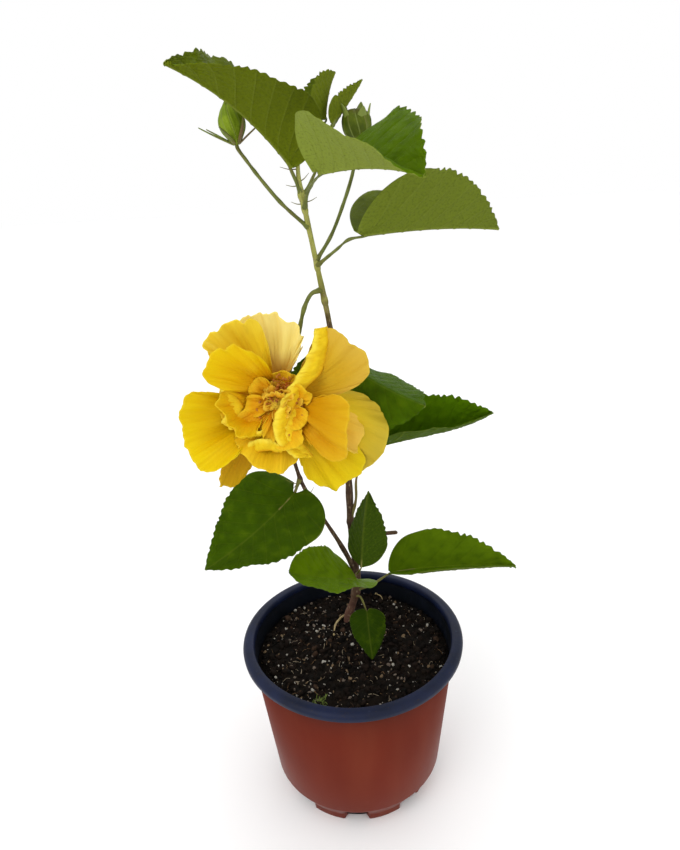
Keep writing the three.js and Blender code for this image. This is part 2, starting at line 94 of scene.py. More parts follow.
class Paint:
    def __init__(self, name, **constants):
        self.material = bpy.data.materials.new(name)
        self.material.use_nodes = True
        self.tree = self.material.node_tree
        self.tree.nodes.clear()
        self.shader = self.tree.nodes.new("ShaderNodeBsdfPrincipled")
        output = self.tree.nodes.new("ShaderNodeOutputMaterial")
        self.tree.links.new(self.shader.outputs[0], output.inputs["Surface"])
        for socket, value in constants.items():
            self.set(socket.replace("_", " "), value)

    def set(self, socket, value):
        self.feed(self.shader.inputs[socket], value)

    def feed(self, socket, value):
        if isinstance(value, Wire):
            self.tree.links.new(value.socket, socket)
        else:
            socket.default_value = value

    def node(self, kind, settings=None, inputs=None, output=0):
        made = self.tree.nodes.new("ShaderNode" + kind)
        for key, value in (settings or {}).items():
            setattr(made, key, value)
        for key, value in (inputs or {}).items():
            self.feed(made.inputs[key], value)
        return Wire(self, made.outputs[output])

    def mix(self, share, first, second):
        return self.node("Mix", {"data_type": "RGBA"}, {0: share, 6: first, 7: second}, output=2)

    def coats(self, base, *coats):  # a base colour, then how much of each coat and its colour
        colour = tone(base) if isinstance(base, str) else base
        for share, code in coats:
            colour = self.mix(share, colour, tone(code))
        return colour

    def place(self, axis=None):  # a point of the object in metres, or one of its coordinates
        whole = self.node("TexCoord", output="Object")
        return self.node("SeparateXYZ", inputs={0: whole}, output=axis) if axis else whole

    def map(self, name, axis=None):  # a point of one of the piece's own maps, or a coordinate
        whole = self.node("UVMap", {"uv_map": name})
        return self.node("SeparateXYZ", inputs={0: whole}, output=axis) if axis else whole

    def cloud(self, vector, scale, detail=3.0, rough=0.5):
        sockets = {"Vector": vector, "Scale": scale, "Detail": detail, "Roughness": rough}
        return self.node("TexNoise", inputs=sockets)

    def cells(self, vector, scale, feature="DISTANCE_TO_EDGE"):
        return self.node("TexVoronoi", {"feature": feature}, {"Vector": vector, "Scale": scale})

    def stretch(self, vector, scale):
        return self.node("VectorMath", {"operation": "MULTIPLY"}, {0: vector, 1: scale})

    def bump(self, height, distance, strength=1.0):  # distance in metres
        sockets = {"Height": height, "Distance": distance, "Strength": strength}
        self.set("Normal", self.node("Bump", inputs=sockets))


# Mesh helpers: rows and columns of points, tubes and thin sheets


def gridFaces(rows, columns, first=0, closed=False, flip=False):
    row = np.arange(rows - 1)[:, None] * columns + first
    column = np.arange(columns if closed else columns - 1)[None, :]
    after = (column + 1) % columns
    quads = np.stack([row + column, row + columns + column, row + columns + after, row + after], -1)
    quads = quads.reshape(-1, 4)
    return quads[:, ::-1] if flip else quads


def makePiece(name, points, faces, paints, nodes=(), maps=None, paintOf=None):
    mesh = bpy.data.meshes.new(name)
    points = np.asarray(points, float).reshape(-1, 3) * mm
    loops = np.concatenate([np.asarray(f).ravel() for f in faces]).astype(np.int32)
    sizes = np.concatenate([np.full(len(f), np.asarray(f).shape[1]) for f in faces])
    mesh.vertices.add(len(points))
    mesh.vertices.foreach_set("co", points.ravel())
    mesh.loops.add(len(loops))
    mesh.loops.foreach_set("vertex_index", loops)
    mesh.polygons.add(len(sizes))
    mesh.polygons.foreach_set("loop_start", (np.cumsum(sizes) - sizes).astype(np.int32))
    for key, values in (maps or {}).items():
        layer = mesh.uv_layers.new(name=key)
        layer.data.foreach_set("uv", np.asarray(values, float).reshape(-1, 2)[loops].ravel())
    for paint in paints:
        mesh.materials.append(paint.material)
    if paintOf is not None:
        mesh.polygons.foreach_set("material_index", np.asarray(paintOf, np.int32))
    mesh.polygons.foreach_set("use_smooth", np.ones(len(sizes), bool))
    mesh.update(calc_edges=True)
    mesh.validate()
    piece = bpy.data.objects.new(name, mesh)
    bpy.context.scene.collection.objects.link(piece)
    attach(piece, "root")
    if nodes:
        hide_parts(*nodes)
    return piece


def waves(x, y, size, seed, parts=9):  # smooth seeded unevenness between about -1 and 1
    dice = np.random.default_rng(seed)
    turn, phase = dice.uniform(0, 2 * np.pi, (2, parts))
    pitch = dice.uniform(0.55, 1.6, parts) * 2 * np.pi / size
    total = 0 * x
    for i in range(parts):
        total = total + np.sin(pitch[i] * (x * math.cos(turn[i]) + y * math.sin(turn[i])) + phase[i])
    return total / math.sqrt(parts) / 1.2


def ramp(value, low, high):  # smooth step of an array
    t = np.clip((value - low) / (high - low), 0, 1)
    return t * t * (3 - 2 * t)


def unit(v):
    return v / np.maximum(np.linalg.norm(v, axis=-1, keepdims=True), 1e-9)


def seedOf(place):  # the same number for the same name
    return sum(map(ord, place))


def polar(radius, heading, height):  # heading in degrees
    turn = math.radians(heading)
    return radius * math.cos(turn), radius * math.sin(turn), height


def stepLengths(points):  # between a line's neighbouring points
    return np.linalg.norm(np.diff(points, axis=0), axis=1)


def curveThrough(points, count):  # an even walk along a centripetal Catmull-Rom curve
    p = np.asarray(points, float)
    p = np.vstack([2 * p[0] - p[1], p, 2 * p[-1] - p[-2]])
    walk, perSpan = [], 40
    for a, b, c, d in zip(p, p[1:], p[2:], p[3:]):
        k0, k1, k2 = (np.linalg.norm(v) ** 0.5 for v in (b - a, c - b, d - c))
        into = ((b - a) / k0 - (c - a) / (k0 + k1) + (c - b) / k1) * k1
        out = ((c - b) / k1 - (d - b) / (k1 + k2) + (d - c) / k2) * k1
        t = np.linspace(0, 1, perSpan, endpoint=False)[:, None]
        walk.append(
            b * (2 * t**3 - 3 * t**2 + 1) + into * (t**3 - 2 * t**2 + t)
            + c * (3 * t**2 - 2 * t**3) + out * (t**3 - t**2)
        )
    walk = np.vstack([*walk, p[-2]])
    far = np.append(0, np.cumsum(stepLengths(walk)))
    even = np.linspace(0, far[-1], count)
    return np.stack([np.interp(even, far, walk[:, i]) for i in range(3)], 1)


def fan(ring, centre, flip=False):  # triangles from a closed ring to its centre
    after = np.roll(ring, -1)
    middle = np.full(len(ring), centre)
    return np.stack([middle, after, ring] if flip else [middle, ring, after], 1)


def capped(rings, foot, tip, flip=True):  # rings joined in a row, with a fan over each end
    count, around = rings.shape[:2]
    size, ring = count * around, np.arange(around)
    caps = [fan(ring, size, flip), fan(size - around + ring, size + 1, not flip)]
    points = np.vstack([rings.reshape(-1, 3), [foot, tip]])
    return points, gridFaces(count, around, closed=True, flip=flip), np.vstack(caps)


def hoopFaces(rings, flip=False):  # the last ring joins the first
    count, around = rings.shape[:2]
    return gridFaces(count + 1, around, closed=True, flip=flip) % (count * around)


def tube(path, radius, sides):  # radius is one number, one for each ring, or one for each point
    path, count = np.asarray(path, float), len(path)
    tangent = unit(np.gradient(path, axis=0))
    across = np.cross(tangent[0], [0, 1, 0] if abs(tangent[0][1]) < 0.9 else [1, 0, 0])
    first = []
    for t in tangent:  # carried along without twisting
        across = across - t * np.dot(across, t)
        across = across / np.linalg.norm(across)
        first.append(across)
    first = np.array(first)
    second = np.cross(tangent, first)
    radius = np.asarray(radius, float)
    radius = radius if radius.ndim == 2 else np.broadcast_to(radius.reshape(-1, 1), (count, sides))
    angle = (np.arange(sides) * 2 * np.pi / sides)[:, None]
    ring = first[:, None] * np.cos(angle) + second[:, None] * np.sin(angle)
    return capped(path[:, None] + ring * radius[..., None], path[0], path[-1])


def joined(parts):  # several (points, quads, triangles) as one
    points, quads, triangles, start = [], [], [], 0
    for p, q, t in parts:
        points.append(p)
        quads.append(q + start)
        triangles.append(t + start)
        start += len(p)
    return np.vstack(points), [np.vstack(quads), np.vstack(triangles)]


def sheetFaces(rows, columns):  # a thin sheet's upper face, lower face and the rim between
    size = rows * columns
    index = np.arange(size).reshape(rows, columns)
    rim = np.concatenate([index[:-1, 0], index[-1, :-1], index[:0:-1, -1], index[0, :0:-1]])
    after = np.roll(rim, -1)
    edge = np.stack([rim, rim + size, after + size, after], 1)
    return gridFaces(rows, columns), gridFaces(rows, columns, size, flip=True), edge


def sheetNormals(points):
    return unit(np.cross(np.gradient(points, axis=0), np.gradient(points, axis=1)))


def thickened(points, thick):  # a sheet's upper and lower points
    off = sheetNormals(points) * (np.asarray(thick)[..., None] / 2)
    return np.stack([points + off, points - off])


def sheetMap(first, second):  # a map that is the same on a sheet's two faces
    return np.concatenate([np.stack([first, second], -1).reshape(-1, 2)] * 2)


def lathe(profile, around):  # rows of [radius, height] turned about Z
    angle = np.arange(around) * 2 * np.pi / around
    radius, height = np.asarray(profile, float).T[..., None]
    return np.stack([radius * np.cos(angle), radius * np.sin(angle), height + 0 * angle], -1)


def rounded(corners, radius, steps=5):  # a profile with its inner corners rounded off
    corners = [np.array(c, float) for c in corners]
    out = [corners[0]]
    for a, b, c in zip(corners, corners[1:], corners[2:]):
        into, away = a - b, c - b
        reach = min(radius, np.linalg.norm(into) * 0.45, np.linalg.norm(away) * 0.45)
        start, end = b + unit(into) * reach, b + unit(away) * reach
        for t in np.linspace(0, 1, steps):
            out.append(start * (1 - t) ** 2 + b * 2 * t * (1 - t) + end * t * t)
    return np.array(out + [corners[-1]])


# Camera, lights and floor

studio = {
    "eye": (-0.6, -344.2, 385.9),
    "down": 23.35,  # degrees below level
    "lean": -3.13,
    "lens": 30.5,
    "sensor": 36,
    "nearest": 0.01,  # metres
    "lightsAimAt": (0, 0, 0.22),  # metres
    "floor": 6000,
    "floorTone": "#ffffff",
    "sky": 1.0,
}

down, lean = math.radians(studio["down"]), math.radians(studio["lean"])
ahead = Vector((0, math.cos(down), -math.sin(down)))
level, above = Vector((1, 0, 0)), Vector((0, math.sin(down), math.cos(down)))
right = level * math.cos(lean) + above * math.sin(lean)
upward = above * math.cos(lean) - level * math.sin(lean)
camera = bpy.data.objects.new("camera", bpy.data.cameras.new("camera"))
camera.data.lens = studio["lens"]
camera.data.sensor_width = studio["sensor"]
camera.data.clip_start = studio["nearest"]
camera.matrix_world = Matrix(
    [[right[i], upward[i], -ahead[i], studio["eye"][i] * mm] for i in range(3)] + [[0, 0, 0, 1]]
)
bpy.context.scene.collection.objects.link(camera)
bpy.context.scene.camera = camera

softLights = {  # place in metres, side of the square in metres, watts
    "key": {"place": (-0.7, -0.9, 1.3), "side": 0.9, "watts": 6},
    "fill": {"place": (1.1, -0.7, 0.7), "side": 1.2, "watts": 1.5},
    "back": {"place": (0.3, 1.1, 1.1), "side": 1.0, "watts": 2},
}
for name, light in softLights.items():
    lamp = bpy.data.lights.new(name, "AREA")
    lamp.size, lamp.energy = light["side"], light["watts"]
    holder = bpy.data.objects.new(name, lamp)
    holder.location = light["place"]
    aim = Vector(studio["lightsAimAt"]) - holder.location
    holder.rotation_euler = aim.to_track_quat("-Z", "Y").to_euler()
    bpy.context.scene.collection.objects.link(holder)

world = bpy.data.worlds.new("studio")
world.use_nodes = True
sky = world.node_tree.nodes["Background"].inputs
sky["Strength"].default_value = studio["sky"]
sky["Color"].default_value = (1, 1, 1, 1)
bpy.context.scene.world = world
bpy.context.scene.view_settings.view_transform = "Standard"

half = studio["floor"] / 2 * mm
floorMesh = bpy.data.meshes.new("floor")
corners = [(-half, -half, 0), (half, -half, 0), (half, half, 0), (-half, half, 0)]
floorMesh.from_pydata(corners, [], [(0, 1, 2, 3)])
floorPaint = Paint("floorPaper", Base_Color=tone(studio["floorTone"]), Roughness=0.9)
floorMesh.materials.append(floorPaint.material)
floor = bpy.data.objects.new("floor", floorMesh)
bpy.context.scene.collection.objects.link(floor)
print("studio set")


# Pot: thin two-colour plastic, terracotta outside, with a rolled blue rim and lining

pot = {
    "height": 103, "rimRadius": 65, "rimDepth": 5, "wallTopRadius": 59.8,
    "wallFootRadius": 50.9, "wallFootHeight": 15, "footRadius": 44.8, "footHeight": 5,
    "wall": 1.6, "floor": 2.4, "hub": 2, "recess": 0.8,  # the underside's height within its foot ring
    "notches": 8, "notchDepth": 4.5, "notchWidth": 16, "notchTurn": -4,  # width and turn in degrees
    "slotWidth": 7, "slotHeight": 4, "slotsOutside": 38,
    "liningTop": 100.9, "liningFoot": 80, "liningRows": 14, "liningGap": 0.25,
    "around": 336,
}


def innerRadius(height):
    share = (height - pot["wallFootHeight"]) / (pot["height"] - pot["rimDepth"] - pot["wallFootHeight"])
    outer = pot["wallFootRadius"] + (pot["wallTopRadius"] - pot["wallFootRadius"]) * share
    return outer - pot["wall"]


def terracottaPaint():
    paint = Paint("terracottaPlastic", Specular_IOR_Level=0.15)
    place = paint.place()
    mottle = paint.cloud(place, 26, 3).step(0.3, 0.8)
    drawn = paint.cloud(paint.stretch(place, (60, 60, 6)), 1.0, 3)  # streaks of the drawn sheet
    nearFoot = 1 - paint.place("Z").step(0.0, 0.03)
    dust = paint.cloud(place, 260, 5).step(0.52, 0.8) * nearFoot
    streaks = drawn.step(0.4, 0.8) * 0.3
    colour = paint.coats("#611c07", (mottle, "#681f09"), (streaks, "#78361f"), (dust * 0.22, "#96685a"))
    paint.set("Base Color", colour)
    paint.set("Roughness", 0.34 + drawn * 0.12 + dust * 0.2)
    paint.bump(drawn * 0.5 + paint.cloud(place, 900, 2) * 0.1, 0.0003)
    return paint


def bluePaint(name, first, second, rough):
    paint = Paint(name, Specular_IOR_Level=0.2)
    place = paint.place()
    mottle = paint.cloud(place, 60, 4).step(0.3, 0.7)
    scuffs = paint.cloud(paint.stretch(place, (400, 400, 60)), 1.0, 4)
    marks = scuffs.step(0.62, 0.8) * 0.3
    crumbs = paint.cloud(place, 700, 3).step(0.63, 0.7) * 0.5
    paint.set("Base Color", paint.coats(first, (mottle, second), (marks, "#3c4660"), (crumbs, "#2a2220")))
    paint.set("Roughness", rough + scuffs * 0.15)
    paint.bump(scuffs * 0.4 + paint.cloud(place, 500, 2) * 0.2, 0.0002)
    return paint


def notched(body):  # presses the notches into the chamfer and the foot below it
    angle = np.degrees(np.arctan2(body[..., 1], body[..., 0]))
    pitch = 360 / pot["notches"]
    off = abs(angle - pitch * np.round(angle / pitch))
    half = pot["notchWidth"] / 2
    reach = np.hypot(body[..., 0], body[..., 1])
    across = 1 - ramp(off, half - 1.2, half + 2.2)
    down = 1 - ramp(body[..., 2], pot["footHeight"] + 1, pot["wallFootHeight"] - 0.3) ** 0.8
    press = pot["notchDepth"] * across * down * ramp(reach, 20, 38)
    body[..., :2] *= ((reach - press) / reach)[..., None]
    turn = math.radians(pot["notchTurn"])
    x, y = body[..., 0].copy(), body[..., 1].copy()
    body[..., 0], body[..., 1] = (
        x * math.cos(turn) - y * math.sin(turn), x * math.sin(turn) + y * math.cos(turn)
    )
    return body


def rowsAdded(profile, levels):  # a profile with a row of points at each level that it crosses
    rows = [profile[0]]
    for a, b in zip(profile, profile[1:]):
        for level in sorted(levels, reverse=bool(b[1] < a[1])):
            if min(a[1], b[1]) < level - 0.01 and max(a[1], b[1]) > level + 0.01:
                rows.append(a + (b - a) * (level - a[1]) / (b[1] - a[1]))
        rows.append(b)
    return np.array(rows)


def makeWall():
    around, wall, floor = pot["around"], pot["wall"], pot["floor"]
    foot, shoulder, stand = pot["footHeight"], pot["wallFootHeight"], pot["footRadius"]
    brim = pot["height"] - 2.2
    outside = rounded([
        (pot["hub"], pot["recess"]), (stand - 6, pot["recess"]), (stand - 5, 0), (stand - 0.6, 0),
        (stand, foot), (pot["wallFootRadius"], shoulder), (innerRadius(brim) + wall, brim),
    ], 0.9)
    inside = rounded([
        (innerRadius(brim), brim), (innerRadius(shoulder), shoulder + 0.6),
        (stand - wall, foot + 0.6), (stand - wall, floor), (pot["hub"], floor),
    ], 0.8)
    middle = (foot + shoulder) / 2  # the slots lie in the middle of the chamfer
    low, high = middle - pot["slotHeight"] / 2, middle + pot["slotHeight"] / 2
    outside, inside = (rowsAdded(rows, (low, high)) for rows in (outside, inside))
    profile, outsideSize = np.vstack([outside, inside]), len(outside) * around
    body = notched(lathe(profile, around))
    points, cells, caps = capped(body, [0, 0, pot["recess"]], [0, 0, floor])
    row, column = cells[:, 3] // around, cells[:, 3] % around
    height, radius = (profile[row] + profile[row + 1]).T[::-1] / 2
    pitch = around // pot["notches"]
    off = (column + 0.5 + pitch / 2) % pitch - pitch / 2
    wide = pot["slotWidth"] / (2 * np.pi * (pot["wallFootRadius"] - pot["notchDepth"])) * around / 2
    cut = (height > low) & (height < high) & (radius > pot["slotsOutside"]) & (abs(off) < wide)
    edges = {(a, b) for quad in cells[cut] for a, b in zip(quad, np.roll(quad, -1))}
    border = [edge for edge in edges if edge[::-1] not in edges]

    def spot(i):
        return round(points[i][2], 2), round(math.atan2(points[i][1], points[i][0]), 3)

    # each slot's own walls join its outer edge to the inner one that faces it
    facing = {spot(i): i for edge in border for i in edge if i >= outsideSize}
    walls = [(a, b, facing[spot(b)], facing[spot(a)]) for a, b in border if a < outsideSize]
    faces = [cells[~cut], np.array(walls), caps]
    makePiece("pot_wall", points, faces, [terracottaPaint()], ["pot_body"])


def makeRim():
    wall, top, edge = pot["wall"], pot["height"], pot["rimRadius"]
    under, lipFoot = top - 1.8, top - pot["rimDepth"]
    inner = innerRadius(under)
    lip = rounded([
        (inner - 0.5, under - 2.4), (inner - 0.4, under), (inner + 0.2, top - 0.15), (inner + 2.4, top),
        (edge - 1.6, top - 0.5), (edge, top - 2.2), (edge - 0.3, lipFoot), (edge - 1.5, lipFoot),
        (edge - 2.2, top - 2.6), (inner + wall + 0.3, top - 2.6), (inner + wall + 0.1, under - 0.6),
        (inner + 0.2, under - 0.6), (inner - 0.2, under - 2.4),
    ], 1.5, 6)
    rim = lathe(lip, pot["around"])
    angle = np.arange(pot["around"]) * 2 * np.pi / pot["around"]
    rim[..., 2] += 0.25 * np.sin(2 * angle + 0.6) + 0.12 * np.sin(5 * angle)  # not quite flat
    rim[..., 2] = np.minimum(rim[..., 2], top + 0.2)
    paint = bluePaint("rimPlastic", "#0a1228", "#101a38", 0.42)
    makePiece("pot_rim_roll", rim, [hoopFaces(rim)], [paint], ["pot_rim"])


def makeLining():
    heights = np.linspace(pot["liningTop"], pot["liningFoot"], pot["liningRows"])
    front = [(innerRadius(h) - pot["liningGap"], h) for h in heights]
    back = [(innerRadius(h) - 0.02, h) for h in heights[::-1]]
    lining = lathe(front + back, pot["around"])
    paint = bluePaint("liningPlastic", "#06090e", "#0c111c", 0.42)
    makePiece("pot_lining", lining, [hoopFaces(lining, flip=True)], [paint])


makeWall()
makeRim()
makeLining()
print("pot made")


# Blades: a leaf or petal is a thin sheet over a midrib that bends and a cross-section that folds

bladeRest = {
    "heading": 0, "rise": 0, "bend": 0, "sweep": 0, "roll": 0, "twist": 0,
    "foldLeft": 0, "foldRight": 0, "curlLeft": 0, "curlRight": 0,
    "lobe": 0.05, "lobeLeft": 0, "shoulder": 0.5, "taper": 0.95, "crease": 0.05,
}


class Blade:
    def __init__(self, plan):
        vars(self).update({**bladeRest, **plan})
        steps = 240  # along the midrib
        self.marks = np.linspace(0, 1, steps + 1)
        along = self.frame((self.marks[:-1] + self.marks[1:]) / 2)[0]
        walk = np.vstack([[0, 0, 0], np.cumsum(along * self.length / steps, axis=0)])
        self.midrib = walk + np.asarray(self.base, float)

    def frame(self, share):  # the directions along, across and up from the blade
        share = np.asarray(share, float)
        rise = np.radians(self.rise + self.bend * share)
        heading = np.radians(self.heading + self.sweep * share)
        roll = np.radians(self.roll + self.twist * share)[..., None]
        cosine, sine = np.cos(heading), np.sin(heading)
        along = np.stack([cosine * np.cos(rise), sine * np.cos(rise), np.sin(rise)], -1)
        flat = np.stack([-sine, cosine, 0 * share], -1)
        across = flat * np.cos(roll) + np.cross(along, flat) * np.sin(roll)
        return along, across, np.cross(along, across)

    def spine(self, share):
        return np.stack([np.interp(share, self.marks, self.midrib[:, i]) for i in range(3)], -1)

    def halfWidth(self, share):
        widest = self.shoulder / (self.shoulder + self.taper)
        most = widest**self.shoulder * (1 - widest) ** self.taper
        kept = share * 0.999 + 0.0005
        return self.width * kept**self.shoulder * (1 - kept) ** self.taper / most + 0.2

    def place(self, share, side, half=None):  # share: base to tip, side: -1 (right) to 1 (left)
        along, across, up = self.frame(share)
        left, out = side >= 0, abs(side)
        fold = np.where(left, self.foldLeft, self.foldRight)
        curl = np.where(left, self.curlLeft, self.curlRight)
        lift = np.radians(fold + curl * out / 2)
        half = self.halfWidth(share) if half is None else half
        eased = np.sqrt(out**2 + self.crease**2) - self.crease  # a soft fold at the midrib
        point = self.spine(share) + across * (side * half * np.cos(lift))[..., None]
        point = point + up * (eased * half * np.sin(lift))[..., None]
        lobe = self.lobe + np.where(side > 0, self.lobeLeft, 0)
        back = lobe * self.length * out**1.3 * (1 - share) ** 3
        return point - along * back[..., None]


# Stems: one leaning main stem, a side branch and a pruned stub, with bark on them

stems = {
    "main": {
        "through": [
            [-1.7, 26.3, 88], [-1.7, 26.3, 91.3], [-1.2, 26.1, 97], [1.2, 24.4, 105], [4, 21.6, 120],
            [4.2, 20, 138], [2.4, 18.2, 165], [2.6, 15, 197], [1, 13, 223], [-0.8, 11, 253],
            [-3, 8, 288], [-6.8, 5, 315], [-11, 3, 343], [-13.4, 2, 362], [-12, 2.4, 371],
            [-8, 2.8, 377.5], [-4, 3, 381],
        ],
        "foot": 2.4, "tip": 0.9, "flare": 1.4,
    },
    "side": {
        "through": [
            [4.2, 20.6, 131], [1.9, 18.2, 138], [-2.3, 15, 151], [-10.6, 12, 170], [-19.6, 9, 190],
            [-25.4, 6, 210], [-27.2, 6, 229], [-24.5, 7, 243],
        ],
        "foot": 1.5, "tip": 0.9, "flare": 0.7,
    },
    "stub": {
        "through": [[3.4, 19, 154.8], [8, 19.7, 155.8], [16, 20.4, 156.8], [30, 22, 156.5]],
        "foot": 1.15, "tip": 1.0, "flare": 0.7,
    },
    "ringStep": 0.7,
    "sides": 28,
    "ridge": 0.16,
    "knot": 0.12,
    "moreNodes": [131, 155, 301.5],  # swellings of the main stem where no stalk leaves
    "swelling": 0.4,
    "scar": 0.16,
    "collar": 0.55,  # how much thicker a stalk is where it leaves the stem
    "collarLength": 2.6,
}


class Stem:
    def __init__(self, plan):
        long = stepLengths(plan["through"]).sum()
        self.path = curveThrough(plan["through"], int(long / stems["ringStep"]))
        self.share = np.linspace(0, 1, len(self.path))
        self.radius = plan["foot"] + (plan["tip"] - plan["foot"]) * self.share
        self.radius = self.radius + plan["flare"] * np.exp(-self.share * long / 5)
        self.nodes = []

    def at(self, height):  # the middle and the radius there
        ring = int(np.argmax(self.path[:, 2] >= height)) or len(self.path) - 1
        return self.path[ring], self.radius[ring]


mainStem, sideBranch, stub = (Stem(stems[key]) for key in ("main", "side", "stub"))


def stalkPaint(name, first, second, warm):
    paint = Paint(name, Roughness=0.5, Specular_IOR_Level=0.15)
    place = paint.place()
    mottle = paint.cloud(place, 160, 4).step(0.35, 0.65)
    blush = paint.cloud(place, 70, 3).step(0.5, 0.75) * 0.6
    hairs = paint.cloud(paint.stretch(place, (2600, 2600, 500)), 1.0, 2)
    down = hairs.step(0.6, 0.8) * 0.35
    paint.set("Base Color", paint.coats(first, (mottle, second), (blush, warm), (down, "#aab27a")))
    paint.bump(hairs * 0.6 + paint.cloud(place, 1100, 3) * 0.5, 0.0002)
    return paint


greenStalk = stalkPaint("greenStalk", "#585f28", "#6c7438", "#74683c")
warmStalk = stalkPaint("warmStalk", "#6a6434", "#74743a", "#7c5044")


def makeStalk(place, stem, height, points, foot, tip, paint, sides=14):
    axis, radius = stem.at(height)
    stem.nodes.append(height)
    points = [np.array(p, float) for p in points]
    towards = unit(points[0] - axis)
    points = [axis + towards * radius * 0.4, axis + towards * (radius + 1), *points]
    long = stepLengths(points).sum()
    path = curveThrough(points, max(int(long / stems["ringStep"]), 10))
    share = np.linspace(0, 1, len(path))
    far = share * long
    thick = foot + (tip - foot) * share**0.8
    thick = thick + stems["collar"] * np.exp(-((far / stems["collarLength"]) ** 2))
    thick = thick + 0.12 * waves(far, 0 * far, 9, int(height * 7)) * ramp(share, 0, 0.1)
    thick = thick[:, None] * (1 + 0.05 * np.sin(np.arange(sides) * 4 * np.pi / sides))
    points, quads, caps = tube(path, thick, sides)
    makePiece(place + "_tube", points, [quads, caps], [paint], [place])
    return path


# Leaves: toothed, folded blades with pinnate veins, each on its own stalk

leafCut = {
    "cell": 0.8,  # mesh size
    "thick": 0.42,
    "rib": 0.95,  # how far it stands below the blade
    "veinRidge": 0.22,
    "pleat": 0.42,  # swelling between side veins
    "crease": 1.4,  # breadth of the soft fold at the midrib
    "groove": 0.35,  # over the midrib
    "dimple": 0.14,
    "wave": 1.1,  # of the margin
    "toothFrom": 0.3,
    "tooth": 1.7,
    "toothPeak": 0.72,  # the margin swells up to here and drops back fast
    "veinLean": 0.42,
    "veins": 8,
    "under": "#5f7a34",  # the under face
    "shown": 1,  # how plainly the veins show there
    "drop": 0.4,  # of the stalk's end below the blade
    "largeFrom": 50,  # blade length
    "largeStalk": (0.95, 0.5),  # radius at its foot and tip
    "smallStalk": (0.75, 0.4),
    "greenAbove": 250,  # lower stalks are warmer
}

